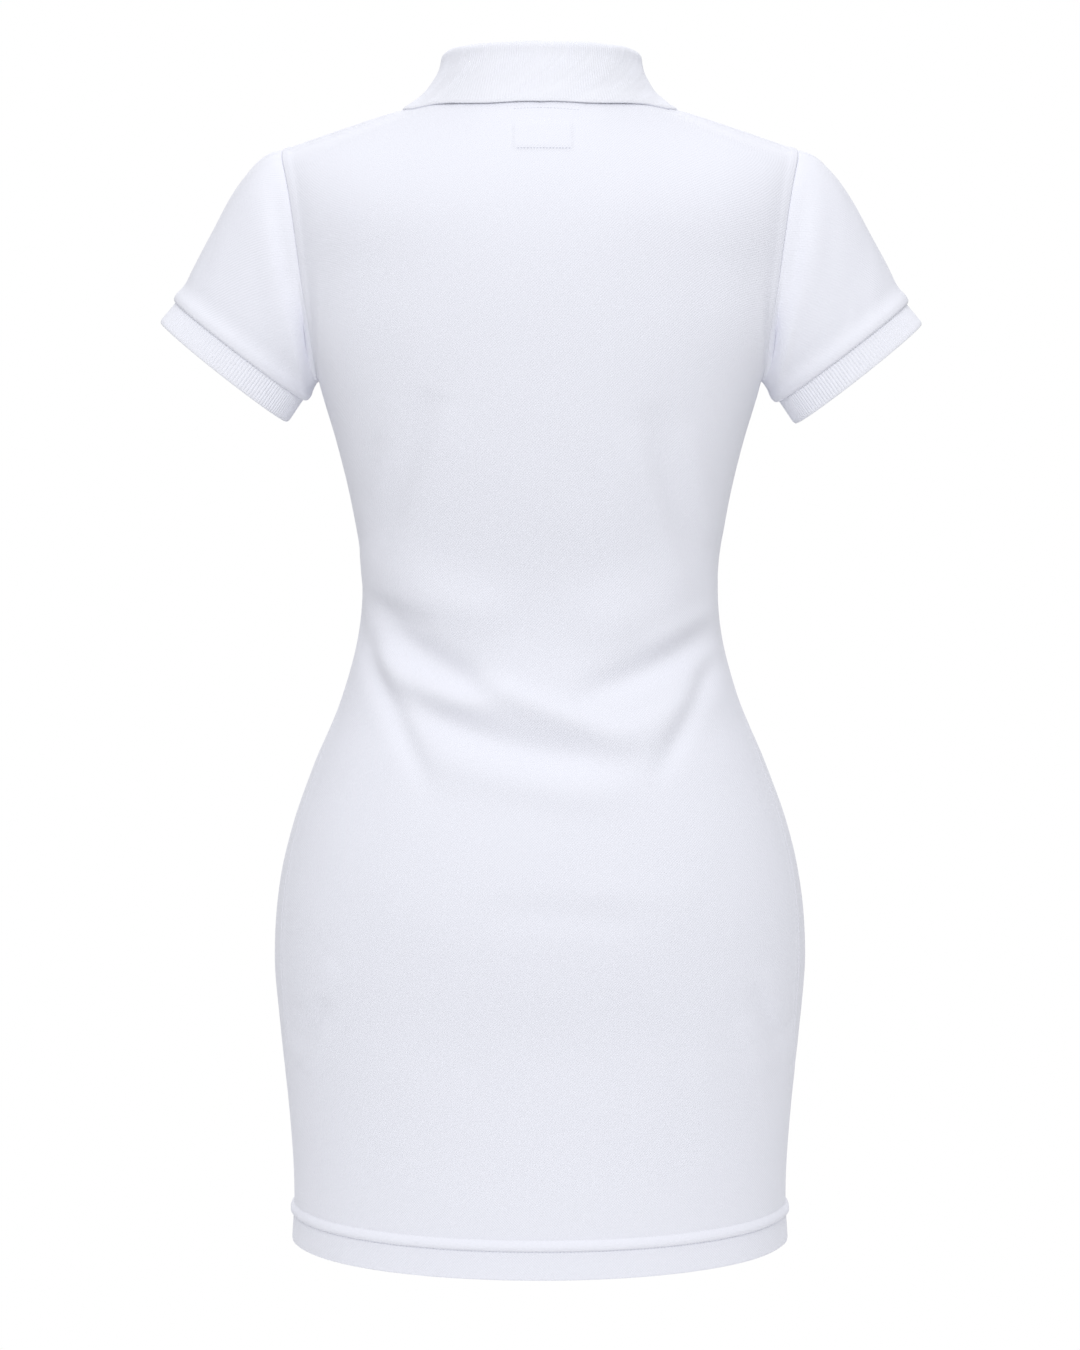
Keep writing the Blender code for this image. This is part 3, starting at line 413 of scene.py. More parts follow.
def colour(code: str) -> tuple[float, float, float, float]:
    """An sRGB hex colour as the linear one that a shader takes."""
    parts = [int(code[i : i + 2], 16) / 255 for i in (1, 3, 5)]
    linear = [c / 12.92 if c <= 0.04045 else ((c + 0.055) / 1.055) ** 2.4 for c in parts]
    return (linear[0], linear[1], linear[2], 1.0)


@dataclass(frozen=True)
class Finish:
    """A material's plain values, which the kinds of cloth below add their relief to."""

    name: str
    base: str
    roughness: float
    sheen: float = 0.0
    bump_height: float = 0.0
    specular: float = 0.25
    sheen_roughness: float = 0.5
    grain_scale: float = 900.0
    grain_detail: float = 2.0

    def material(self) -> bpy.types.Material:
        """Makes the material, or gives the one that was made before."""
        made = bpy.data.materials.get(self.name)
        if made:
            return made
        made = bpy.data.materials.new(self.name)
        made.use_nodes = True
        tree = made.node_tree
        shader = tree.nodes["Principled BSDF"]
        shader.inputs["Base Color"].default_value = colour(self.base)
        shader.inputs["Roughness"].default_value = self.roughness
        shader.inputs["Specular IOR Level"].default_value = self.specular
        shader.inputs["Sheen Weight"].default_value = self.sheen
        shader.inputs["Sheen Roughness"].default_value = self.sheen_roughness
        if self.bump_height > 0:
            height = self.relief(tree)
            bump = add_node(tree, "ShaderNodeBump")
            bump.inputs["Strength"].default_value = 1.0
            bump.inputs["Distance"].default_value = self.bump_height * MM
            tree.links.new(height, bump.inputs["Height"])
            tree.links.new(bump.outputs["Normal"], shader.inputs["Normal"])
        made.diffuse_color = colour(self.base)
        return made

    def relief(self, tree: bpy.types.NodeTree) -> bpy.types.NodeSocket:
        """Fine unevenness that has no direction, in the object's own millimetres."""
        place = add_node(tree, "ShaderNodeTexCoord").outputs["Object"]
        noise = add_node(tree, "ShaderNodeTexNoise", Scale=self.grain_scale, Detail=self.grain_detail)
        tree.links.new(place, noise.inputs["Vector"])
        return noise.outputs["Fac"]


def add_node(tree: bpy.types.NodeTree, kind: str, **inputs: float) -> bpy.types.Node:
    """Adds a node and sets the inputs that are named."""
    node = tree.nodes.new(kind)
    for name, value in inputs.items():
        node.inputs[name].default_value = value
    return node


def maths(
    tree: bpy.types.NodeTree, operation: str, *values: float | bpy.types.NodeSocket
) -> bpy.types.NodeSocket:
    """Adds a Math node. Each value is a number or the socket that it comes from."""
    node = tree.nodes.new("ShaderNodeMath")
    node.operation = operation
    for place, value in enumerate(values):
        if isinstance(value, bpy.types.NodeSocket):
            tree.links.new(value, node.inputs[place])
        else:
            node.inputs[place].default_value = value
    return node.outputs[0]


def cloth_axes(
    tree: bpy.types.NodeTree, uneven: float
) -> tuple[bpy.types.NodeSocket, bpy.types.NodeSocket]:
    """The place on the cloth in millimetres, across and along, wandering a little.

    Args:
        tree: the material's nodes.
        uneven: how far the threads wander from their straight lines, in millimetres.

    Returns:
        The sockets of the two distances.
    """
    place = tree.nodes.new("ShaderNodeUVMap")
    place.uv_map = "cloth"
    parts = tree.nodes.new("ShaderNodeSeparateXYZ")
    tree.links.new(place.outputs["UV"], parts.inputs[0])
    noise = add_node(tree, "ShaderNodeTexNoise", Scale=WANDER_SCALE, Detail=1.0)
    tree.links.new(place.outputs["UV"], noise.inputs["Vector"])
    wander = maths(tree, "MULTIPLY", maths(tree, "SUBTRACT", noise.outputs["Fac"], 0.5), uneven)
    across = maths(tree, "ADD", maths(tree, "MULTIPLY", parts.outputs[0], 1 / MM), wander)
    along = maths(tree, "SUBTRACT", maths(tree, "MULTIPLY", parts.outputs[1], 1 / MM), wander)
    return across, along


@dataclass(frozen=True)
class PiqueKnit(Finish):
    """Cotton pique: slanting rows of small raised cells, which break the light softly."""

    pitch: float = 1.45  # between the slanting rows
    cross_pitch: float = 1.3
    slant: float = 1.0  # how steeply the rows rise towards the wearer's right
    wander: float = 0.35
    diagonal: float = 1.41  # a step across and a step along together
    cell_share: float = 0.35  # the crossing wave's height, as a share of the rows'

    def relief(self, tree: bpy.types.NodeTree) -> bpy.types.NodeSocket:
        """Waves across the slanting rows, cut into cells by a weaker crossing wave."""
        across, along = cloth_axes(tree, self.wander)
        length = math.hypot(1, self.slant)
        falling = maths(tree, "SUBTRACT", maths(tree, "MULTIPLY", across, self.slant), along)
        slanting = maths(tree, "MULTIPLY", falling, 2 * math.pi / self.pitch / length)
        rows = maths(tree, "SINE", slanting)
        rising = maths(tree, "ADD", across, along)
        crossing = maths(tree, "MULTIPLY", rising, 2 * math.pi / self.cross_pitch / self.diagonal)
        cells = maths(tree, "MULTIPLY", maths(tree, "SINE", crossing), self.cell_share)
        return maths(tree, "ADD", rows, cells)


@dataclass(frozen=True)
class RibKnit(Finish):
    """Cotton rib: the ribs are shaped in the mesh, and this adds the rows of stitches."""

    pitch: float = 0.9  # between the rows of stitches
    wander: float = 0.2
    column_share: float = 0.4  # height of the columns, as a share of the rows'

    def relief(self, tree: bpy.types.NodeTree) -> bpy.types.NodeSocket:
        """Rows of small stitches across the ribs."""
        across, along = cloth_axes(tree, self.wander)
        rows = maths(tree, "SINE", maths(tree, "MULTIPLY", along, 2 * math.pi / self.pitch))
        columns = maths(tree, "SINE", maths(tree, "MULTIPLY", across, 2 * math.pi / self.pitch))
        return maths(tree, "ADD", rows, maths(tree, "MULTIPLY", columns, self.column_share))


# Matt white cotton. The slanting cells give it the fine dry grain of a polo shirt.
PIQUE = PiqueKnit("cotton_pique", "#E8E9F1", 0.9, sheen=0.2, bump_height=0.045)
# The same yarn, a little finer on the sleeves, where its rows run more along the arm.
SLEEVE_PIQUE = PiqueKnit(
    "cotton_pique_sleeve", "#EBECF4", 0.9, sheen=0.2, bump_height=0.035, pitch=1.35, slant=2.2
)
# Softer and a little brighter than the pique, as rib knit is.
RIB = RibKnit("cotton_rib", "#EBECF3", 0.88, sheen=0.25, bump_height=0.004)
# Pearly resin with a clear gloss.
RESIN = Finish("button_resin", "#EDEDEC", 0.22)
# Spun thread, greyer than the white cloth it matches. The grey is painted shade: it stands in for the small
# shadows that make rows of stitches show as dark dots.
THREAD_WITH_PAINTED_SHADE = Finish("sewing_thread_painted_shade", "#D9DBE6", 0.7, bump_height=0.04)
# Woven satin tape.
TAPE = RibKnit("woven_tape", "#E4E6EE", 0.55, bump_height=0.05, pitch=0.5)


# ---------------------------------------------------------------- the body's form


class Side(Enum):
    """Which half of the dress a panel covers."""

    BACK = 1
    FRONT = -1


class Section(NamedTuple):
    """A level cut through the body: power is 2 for an ellipse, more for a squarer one."""

    z: float
    half_width: float
    back: float
    front: float
    seam_y: float
    power: float


class ArmholeWidth(NamedTuple):
    """Half the distance between the two armholes at a height."""

    z: float
    half_width: float


class Fold(NamedTuple):
    """A crease or ridge through three places (x, z), its width and its height outwards."""

    x1: float
    z1: float
    x2: float
    z2: float
    x3: float
    z3: float
    width: float
    height: float


@dataclass(frozen=True)
class BodyForm:
    """The smooth filled-out form of the dress, without its folds."""

    neck_half: float = 66.0
    neck_back_depth: float = 58.0
    neck_front_depth: float = 66.0
    neck_back_rise: float = 2.0
    neck_front_drop: float = 64.0
    shoulder_tip: float = 175.2
    shoulder_slope: float = 0.335
    shoulder_ridge_z: float = 3.2
    shoulder_ridge_rise: float = 2.0
    seam_behind: float = 6.0
    ridge_forward: float = 7.0
    underarm_z: float = -190.0
    hem_z: float = -791.5
    upper_power: float = 2.3
    armhole_back: float = 46.0
    armhole_front: float = 50.0
    armhole_scoop: float = 62.0
    slot_half: float = 14.5
    shoulder_columns: int = 7
    front_drop_power: float = 1.9  # 1 gives an elliptic neckline, 2 a parabolic one
    roll_back: float = 110.0  # drop over which the back's middle reaches its full depth
    roll_front: float = 105.0  # the same for the front
    roll_tip: float = 72.0  # and for both at the shoulder's tip
    roll_from: float = 20.0
    roundness: float = 0.85
    tip_power: float = 0.85  # how the depth falls towards the armhole, well above the underarm
    power_reach: float = 75.0
    calm_from: float = 30.0
    calm_reach: float = 60.0
    sections: tuple[Section, ...] = (
        Section(-792, 174.0, 107.0, 103.0, 20.0, 2.05),
        Section(-745, 173.2, 106.0, 102.0, 14.0, 2.10),
        Section(-695, 176.2, 106.0, 102.0, 8.0, 2.15),
        Section(-640, 181.7, 109.0, 103.0, 33.0, 2.20),
        Section(-587, 185.2, 113.0, 104.0, 38.0, 2.25),
        Section(-540, 181.7, 112.5, 105.0, 37.0, 2.30),
        Section(-496, 171.8, 108.0, 106.0, 33.0, 2.30),
        Section(-453, 156.3, 98.0, 105.0, 28.0, 2.30),
        Section(-410, 138.0, 85.0, 101.0, 16.0, 2.30),
        Section(-368, 126.0, 76.0, 96.0, 2.0, 2.30),
        Section(-330, 122.3, 77.0, 98.0, 0.0, 2.30),
        Section(-270, 130.3, 89.0, 114.0, 0.0, 2.30),
        Section(-230, 139.8, 96.0, 118.0, 0.0, 2.30),
        Section(-190, 151.5, 100.0, 113.0, 0.0, 2.30),
        Section(-140, 157.5, 104.0, 104.0, 0.0, 2.30),
        Section(-95, 163.5, 103.0, 98.0, 0.0, 2.30),
    )
    armhole: tuple[ArmholeWidth, ...] = (
        ArmholeWidth(-190, 151.5),
        ArmholeWidth(-160, 154.4),
        ArmholeWidth(-125, 159.6),
        ArmholeWidth(-90, 164.2),
        ArmholeWidth(-60, 169.3),
        ArmholeWidth(-36, 175.2),
    )
    # How far down from the top edge to the underarm each of the upper knot rows lies.
    ways: tuple[float, ...] = (0, 0.014, 0.045, 0.09, 0.15, 0.22, 0.31, 0.41, 0.52, 0.64, 0.76, 0.88, 1)

    def read(self, name: str, z: Array) -> Array:
        """One column of the level cuts, read smoothly at the heights z."""
        return smooth_through([s.z for s in self.sections], [getattr(s, name) for s in self.sections], z)

    def armhole_half(self, z: Array) -> Array:
        """Half the distance between the armholes at the heights z."""
        return smooth_through([a.z for a in self.armhole], [a.half_width for a in self.armhole], z)

    def cut_point(self, z: Array, angle: Array) -> Array:
        """A point of the level cut at z: angle 0 is the left side, 90 degrees the back."""
        c, s = np.cos(angle), np.sin(angle)
        depth = np.where(s >= 0, self.read("back", z), self.read("front", z))
        bend = 2 / self.read("power", z)
        x = self.read("half_width", z) * np.sign(c) * np.abs(c) ** bend
        y = depth * np.sign(s) * np.abs(s) ** bend
        return np.stack([x, y, z + 0 * angle], axis=-1)

    def seam_angle(self, z: Array) -> Array:
        """The angle at which the left side seam crosses the level cut."""
        share = self.read("seam_y", z) / self.read("back", z)
        return np.arcsin(np.clip(share, 0, 1) ** (self.read("power", z) / 2))

    def neck_share(self, x: Array) -> Array:
        """1 at the middle of the neckline, 0 at the side-neck points and beyond."""
        return np.sqrt(np.clip(1 - (x / self.neck_half) ** 2, 0, 1))

    def ridge_z(self, x: Array) -> Array:
        """Height of the top of the shoulder."""
        return self.shoulder_ridge_z - self.shoulder_slope * np.maximum(np.abs(x) - self.neck_half, 0)

    def shoulder_seam_z(self, x: Array) -> Array:
        """Height of the shoulder seam, which dips behind the ridge away from the neck."""
        return self.ridge_z(x) - self.shoulder_ridge_rise * ease((np.abs(x) - self.neck_half) / 25)

    def top_edge(self, x: Array, side: Side) -> tuple[Array, Array]:
        """(y, z) of a panel's upper edge: neckline in the middle, shoulder beside it."""
        share = self.neck_share(x)
        seam_z = self.shoulder_seam_z(x)
        if side is Side.BACK:
            y = blend(self.seam_behind, self.neck_back_depth, share)
            return y, seam_z + (self.neck_back_rise - seam_z) * share
        y = blend(self.seam_behind, -self.neck_front_depth, share)
        return y, seam_z - (self.neck_front_drop + seam_z) * share**self.front_drop_power

    @staticmethod
    def roll_over(drop: Array, reach: Array, roundness: Array) -> Array:
        """How much of its full depth the surface has at this drop below its top edge."""
        t = np.clip(drop / reach, 0, 1)
        hollow = 2 * t - t * t
        return (1 - roundness) * hollow + roundness * np.sqrt(hollow)

    def upper_y(self, x: Array, z: Array, side: Side) -> Array:
        """Depth of the back or front above the underarm.

        Args:
            x, z: where.
            side: which panel.

        Returns:
            y. At each height it falls from the middle's full depth to the armhole's by a
            power of the share of the width, and it rolls over to the top edge.
        """
        back = side is Side.BACK
        scoop = np.clip((self.underarm_z + self.armhole_scoop - z) / self.armhole_scoop, 0, 1)
        edge = (self.armhole_back if back else self.armhole_front) * np.sqrt(1 - scoop**2)
        full = self.read("back" if back else "front", z)
        share = np.clip(np.abs(x) / self.armhole_half(z), 0, 1)
        above = ease((z - self.underarm_z) / self.power_reach)
        power = blend(1 / self.upper_power, self.tip_power, above)
        full = edge + (full - edge) * (1 - share**self.upper_power) ** power
        edge_y, edge_z = self.top_edge(x, side)
        if back:
            outwards = ease((np.abs(x) - self.roll_from) / (self.shoulder_tip - self.roll_from))
            reach = blend(self.roll_back, self.roll_tip, outwards)
            near = self.roll_over(edge_z - z, reach, self.roundness * outwards**0.6)
            return blend(edge_y, full, near)
        beside = np.abs(x) >= self.neck_half
        edge_y = np.where(beside, -self.ridge_forward, np.abs(edge_y))
        edge_z = np.where(beside, self.ridge_z(x), edge_z)
        beyond = ease((np.abs(x) - self.neck_half) / (self.shoulder_tip - self.neck_half))
        reach = blend(self.roll_front, self.roll_tip, beyond)
        near = self.roll_over(edge_z - z, reach, self.roundness * beyond)
        inner = np.where(beside, self.ridge_forward, np.abs(edge_y))
        return -blend(inner, full, near)

    def knot_columns(self, side: Side) -> Array:
        """x of each knot column at a panel's upper edge, from left to right."""
        if side is Side.BACK:
            angles = np.radians(18.0 * np.arange(6))
        else:
            slot = math.asin(self.slot_half / self.neck_half)
            angles = np.concatenate([[0], np.linspace(slot, math.pi / 2, 6)])
        neck = self.neck_half * np.sin(angles)
        shoulder = np.linspace(self.neck_half, self.shoulder_tip, self.shoulder_columns + 1)[1:]
        half = np.concatenate([neck, shoulder])
        return np.concatenate([half[::-1], -half[1:]])

    def level_angles(self, z: Array, places: Array, half: int, side: Side) -> Array:
        """Angle of each column in the level cuts at the heights z.

        Args:
            z: heights, shaped to spread over the columns.
            places: the column's place, from 0 at the left seam to 2 * half at the right.
            half: knot columns in half the panel.
            side: which panel. The front's two middle steps are the placket's slot.

        Returns:
            The angles, evenly spaced from seam to seam apart from the slot.
        """
        seam = self.seam_angle(z)
        if side is Side.BACK:
            return seam + places / (2 * half) * (math.pi - 2 * seam)
        slot = np.arcsin((self.slot_half / self.read("half_width", z)) ** (self.read("power", z) / 2))
        from_middle = np.abs(half - places)
        beyond = slot + (from_middle - 1) / (half - 1) * (math.pi / 2 + seam - slot)
        angle = np.where(from_middle <= 1, slot * from_middle, beyond)
        return -math.pi / 2 + np.sign(half - places) * angle

    def armhole_heights(self, side: Side) -> Array:
        """Heights of the knot rows at the armhole, evenly spaced along its curve."""
        top = float(self.shoulder_seam_z(np.array(self.shoulder_tip)))
        turn = np.linspace(0, math.pi, 400)[1:-1]
        z = blend(self.underarm_z, top, (1 + np.cos(turn)) / 2)
        x = self.armhole_half(z)
        y = self.upper_y(x, z, side)
        low = float(self.armhole_half(np.array(self.underarm_z)))
        x = np.concatenate([[self.shoulder_tip], x, [low]])
        y = np.concatenate([[self.seam_behind], y, [0]])
        z = np.concatenate([[top], z, [self.underarm_z]])
        run = run_along(np.stack([x, y, z], axis=-1)[:, None], 0)[:, 0]
        return np.interp(np.linspace(0, run[-1], len(self.ways)), run, z)

    def upper_knots(self, side: Side) -> Array:
        """Knot rows above the underarm, the shoulder seam or neckline first."""
        x_top = self.knot_columns(side)
        half = len(x_top) // 2
        places = np.arange(2.0 * half + 1)
        low_z = np.array(self.underarm_z)
        level = self.cut_point(low_z, self.level_angles(low_z, places, half, side))
        share = np.abs(places - half) / half
        y_top, z_top = self.top_edge(x_top, side)
        beside = np.abs(x_top) > self.neck_half + 0.01
        rows = []
        for index, (way, edge_z) in enumerate(zip(self.ways, self.armhole_heights(side))):
            z = blend(blend(z_top, self.underarm_z, way), edge_z, share**4)
            x = blend(x_top, level[:, 0], ease(way))
            x = x + np.sign(x) * (self.armhole_half(z[0]) - abs(x[0])) * share**3
            y = self.upper_y(x, z, side)
            if index == 0:
                x, y, z = x_top, y_top, z_top
            if index == 1 and side is Side.FRONT:
                x = np.where(beside, x_top, x)
                y = np.where(beside, -self.ridge_forward, y)
                z = np.where(beside, self.ridge_z(x_top), z)
            if index == len(self.ways) - 1:
                x, y = level[:, 0], level[:, 1]
            rows.append(np.stack([x, y, z], axis=-1))
        return np.array(rows)

    def below_shoulder(self, x: Array, z: Array) -> Array:
        """0 near the shoulder and the neckline, 1 well below them."""
        return ease((self.ridge_z(x) - self.calm_from - z) / self.calm_reach)


BODY = BodyForm()

BACK_FOLDS = (
    Fold(120, -296, 78, -328, 14, -354, 24, 4.2),
    Fold(118, -338, 80, -371, 22, -400, 11, -6.4),
    Fold(124, -334, 98, -345, 68, -353, 8, -2.6),
    Fold(116, -366, 80, -396, 18, -405, 10, 5.0),
    Fold(98, -390, 34, -425, -72, -440, 12, -7.2),
    Fold(48, -384, 6, -404, -66, -430, 9, 4.4),
    Fold(76, -432, 12, -458, -74, -460, 13, 3.0),
    Fold(-116, -306, -72, -336, -14, -356, 24, 3.2),
    Fold(-120, -357, -84, -377, -18, -401, 10, -6.0),
    Fold(-122, -345, -98, -353, -66, -371, 8, 1.6),
    Fold(-112, -388, -78, -418, -30, -428, 14, 4.6),
    Fold(128, -346, 103, -403, 72, -462, 8, -4.4),
    Fold(-124, -372, -102, -410, -77, -456, 8, -4.0),
    Fold(70, -193, 87, -243, 114, -312, 13, -3.2),
    Fold(60, -203, 76, -250, 99, -312, 12, 1.6),
    Fold(104, -222, 119, -251, 125, -280, 8, -1.5),
    Fold(-75, -200, -88, -257, -111, -335, 12, -2.8),
    Fold(-60, -215, -76, -272, -102, -340, 11, 1.4),
    Fold(-97, -216, -109, -262, -120, -303, 9, 1.3),
    Fold(138, -577, 150, -597, 166, -617, 8, 1.6),
    Fold(145, -603, 155, -624, 170, -649, 7, -2.0),
    Fold(143, -620, 154, -640, 167, -660, 7, 1.3),
    Fold(-149, -586, -160, -608, -171, -631, 8, 1.6),
    Fold(-144, -592, -156, -618, -170, -649, 7, -2.0),
    Fold(-134, -618, -146, -641, -157, -664, 8, 1.3),
    Fold(124, -550, 0, -546, -124, -550, 44, 2.2),
    Fold(112, -630, 0, -636, -112, -630, 40, -1.8),
    Fold(40, -541, -20, -542, -68, -549, 11, -1.3),
    Fold(-10, -526, -66, -528, -110, -535, 12, 0.9),
    Fold(52, -444, 20, -462, -20, -470, 12, -1.0),
    Fold(96, -330, 60, -338, 20, -341, 14, 1.0),
    Fold(-100, -338, -66, -350, -30, -356, 13, 0.9),
)
FRONT_FOLDS = (
    Fold(120, -350, 84, -377, 38, -392, 10, -4.4),
    Fold(-119, -358, -78, -382, -30, -399, 10, -4.6),
    Fold(112, -370, 60, -404, -20, -412, 11, 3.2),
    Fold(-104, -392, -50, -420, 24, -426, 11, -3.4),
    Fold(-110, -376, -70, -400, -24, -411, 9, 2.4),
    Fold(96, -398, 64, -424, 30, -438, 10, -2.0),
    Fold(104, -206, 92, -250, 96, -310, 13, -3.0),
    Fold(118, -214, 112, -256, 114, -300, 9, 1.4),
    Fold(-106, -200, -94, -246, -98, -302, 13, -2.8),
    Fold(-120, -212, -112, -250, -116, -296, 9, 1.4),
    Fold(138, -588, 152, -612, 168, -642, 8, -2.0),
    Fold(134, -572, 148, -592, 164, -616, 8, 1.4),
    Fold(-140, -580, -154, -606, -170, -634, 8, -2.0),
    Fold(-132, -600, -146, -624, -162, -650, 8, 1.3),
    Fold(60, -300, 20, -318, -30, -322, 16, -1.0),
    Fold(50, -462, 0, -470, -54, -466, 15, -1.2),
)


@dataclass
class PanelCloth:
    """The back or the front: smooth form, folds, seams and hem.

    Attributes:
        side: which panel.
        cloth: thickness of the pique.
        seam_roll: radius of the rounded edge at a side, and top_roll that of the top edge.
        band_raise: how far the seam allowance lifts the body's cloth beside the armhole.
        neck_raise: the same below the shoulder seam, and side_raise beside the side seam.
        ridge_above: middle of the hem's ridge above the edge.
        fold_end: a fold's strength at its ends, as a share of that in its middle.
        free_side: share of the half width beside a seam over which folds fade.
        label_x: middle of the neck label, which presses through the back.
        joint_rows: rows about the underarm's level over which the form is evened out.
    """

    side: Side
    cloth: float = 1.4
    seam_roll: float = 1.0
    top_roll: float = 0.7
    band_raise: float = 0.75
    band_width: float = 6.0
    neck_raise: float = 0.35
    neck_width: float = 4.0
    side_raise: float = 0.3
    side_width: float = 3.5
    ridge_above: float = 23.5
    ridge_width: float = 7.6
    ridge_height: float = 2.5
    ridge_crest: float = 0.62
    ridge_swell: float = 1.15
    ridge_reach: float = 0.56
    hem_thick: float = 2.3
    hem_flare: float = 0.045
    hem_roll: float = 1.0
    hem_zone: float = 1.4
    fold_end: float = 0.06
    fold_steps: int = 33
    fold_reach: float = 4.0
    free_side: float = 0.08
    uneven_height: float = 0.28
    uneven_length: float = 130.0
    bust_apart: float = 71.0
    bust_z: float = -228.0
    bust_spread: float = 40.0
    bust_fullness: float = 5.0
    label_x: float = -2.0
    label_half: float = 20.2
    label_top: float = -19.8
    label_bottom: float = -38.6
    label_height: float = 0.8
    label_columns: int = 2
    below_rows: tuple[float, ...] = (22.0, 44.0)
    corner_power: int = 10
    neck_spread: float = 2.4
    neck_rounds: int = 8
    joint_rows: float = 22.0
    joint_rounds: int = 160
    first_steps: int = 12
    steps: int = 8
    first_row_steps: int = 10
    body_rows: int = 187
    ridge_rows: int = 29
    band_rows: int = 9
    edge_rows: int = 8

    def __post_init__(self) -> None:
        """Works out the smooth form."""
        self.columns = self.column_places()
        self.upper_rows = len(self.row_places()) - 1
        self.smooth = self.softened_at_underarm(np.concatenate([self.upper()[:-1], self.lower()]))
        self.outwards = BACKWARDS * self.side.value
        self.facing = facing_of(self.smooth, False, self.outwards)
        self.points = self.smooth

    @property
    def half(self) -> int:
        """Knot columns in half the panel."""
        return len(BODY.knot_columns(self.side)) // 2

    @property
    def underarm_row(self) -> int:
        """The knot row at the underarm, counted from the top edge."""
        return len(BODY.ways) - 1

    def column_places(self) -> Array:
        """Places of the fine columns among the knot columns, closer at the seams."""
        first = (np.arange(self.first_steps) / self.first_steps) ** 2.0
        middle = self.half - (self.label_columns if self.side is Side.BACK else 0)
        inner = np.arange(1, middle, 1 / self.steps)
        inner = np.concatenate([inner, np.arange(middle, self.half, 0.5 / self.steps)])
        half = np.concatenate([first, inner])
        return np.concatenate([half, [self.half], 2 * self.half - half[::-1]])

    def row_places(self) -> Array:
        """Places of the fine rows among the upper knot rows, closer at the top edge."""
        first = (np.arange(self.first_row_steps) / self.first_row_steps) ** 1.7
        return np.concatenate([first, np.arange(1, self.underarm_row, 1 / self.steps), [self.underarm_row]])

    def upper(self) -> Array:
        """The grid above the underarm, smooth but at the neck and underarm corners."""
        knots = BODY.upper_knots(self.side)
        half = self.half
        places = np.arange(2.0 * half + 1)
        share = np.abs(places - half) / half
        below = []
        for drop in self.below_rows:
            z = np.array(BODY.underarm_z - drop)
            below.append(BODY.cut_point(z, BODY.level_angles(z, places, half, self.side)))
        knots = np.concatenate([knots, below])
        knots = self.softened_beside_neck(knots)
        rows = refined(knots, self.row_places(), [self.underarm_row], share**self.corner_power)
        sharp = bell(self.row_places(), 0.7)
        neck = BODY.shoulder_columns
        across = refined(rows.swapaxes(0, 1), self.columns, [neck, 2 * half - neck], sharp)
        return across.swapaxes(0, 1)

    def softened_beside_neck(self, knots: Array) -> Array:
        """Spreads the turn below each side-neck point over the knots beside it."""
        places = np.arange(knots.shape[1])
        neck = BODY.shoulder_columns
        near = bell(places - neck, self.neck_spread)
        near = near + bell(places - (2 * self.half - neck), self.neck_spread)
        weight = 0.5 * (ease(np.arange(len(knots)) / 2.0)[:, None] * near)[..., None]
        for _ in range(self.neck_rounds):
            mean = (np.roll(knots, 1, axis=1) + np.roll(knots, -1, axis=1)) / 2
            knots = knots + (mean - knots) * weight
        return knots

    def softened_at_underarm(self, grid: Array) -> Array:
        """Spreads the turn at the underarm's level over the rows above and below it."""
        rows = np.arange(len(grid)) - self.upper_rows
        inside = 1 - (np.abs(self.columns - self.half) / self.half) ** self.corner_power
        weight = 0.5 * (bell(rows, self.joint_rows)[:, None] * inside)[1:-1, :, None]
        for _ in range(self.joint_rounds):
            grid[1:-1] += ((grid[:-2] + grid[2:]) / 2 - grid[1:-1]) * weight
        return grid

    def heights(self) -> Array:
        """Heights of the rows below the underarm, closer at the hem's ridge and edge."""
        ridge = BODY.hem_z + self.ridge_above
        reach = self.ridge_width * self.ridge_reach
        zone = self.hem_roll * self.hem_zone
        body = np.linspace(BODY.underarm_z, ridge + reach, self.body_rows)[:-1]
        roll = np.linspace(ridge + reach, ridge - reach, self.ridge_rows)[:-1]
        band = np.linspace(ridge - reach, BODY.hem_z + zone, self.band_rows)[:-1]
        edge = BODY.hem_z + zone * (1 - np.linspace(0, 1, self.edge_rows)) ** 2
        return np.concatenate([body, roll, band, edge])

    def lower(self) -> Array:
        """The grid from the underarm down, straight from the level cuts."""
        z = self.heights()[:, None]
        angles = BODY.level_angles(z, self.columns[None, :], self.half, self.side)
        return BODY.cut_point(z, angles)

    def fold_relief(self, x: Array, z: Array) -> Array:
        """How far the folds push the cloth out.

        Args:
            x, z: where.

        Returns:
            The sum over the folds of a bell across each, which is full in its middle and
            fades along it to a small share at its ends. The place along a fold lies between
            its steps, by a parabola through the three nearest distances.
        """
        relief = np.zeros_like(x)
        steps = np.linspace(0, 1, self.fold_steps)
        for fold in BACK_FOLDS if self.side is Side.BACK else FRONT_FOLDS:
            middle_x = 2 * fold.x2 - (fold.x1 + fold.x3) / 2
            middle_z = 2 * fold.z2 - (fold.z1 + fold.z3) / 2
            weights = ((1 - steps) ** 2, 2 * steps * (1 - steps), steps**2)
            line_x = weights[0] * fold.x1 + weights[1] * middle_x + weights[2] * fold.x3
            line_z = weights[0] * fold.z1 + weights[1] * middle_z + weights[2] * fold.z3
            margin = self.fold_reach * fold.width
            near = (x > line_x.min() - margin) & (x < line_x.max() + margin)
            near &= (z > line_z.min() - margin) & (z < line_z.max() + margin)
            away = (x[near][:, None] - line_x) ** 2 + (z[near][:, None] - line_z) ** 2
            at = np.clip(np.argmin(away, axis=-1), 1, len(steps) - 2)
            cell = np.arange(len(at))
            before, here, after = away[cell, at - 1], away[cell, at], away[cell, at + 1]
            slope, bend = (after - before) / 2, np.maximum(after - 2 * here + before, 1e-6)
            past = np.clip(-slope / bend, -1, 1)
            nearest = steps[at] + past * steps[1]
            strength = blend(self.fold_end, 1, ease(4 * nearest * (1 - nearest)) ** 0.7)
            square = here + slope * past + bend * past**2 / 2
            relief[near] += fold.height * strength * np.exp(-square / fold.width**2)
        return relief

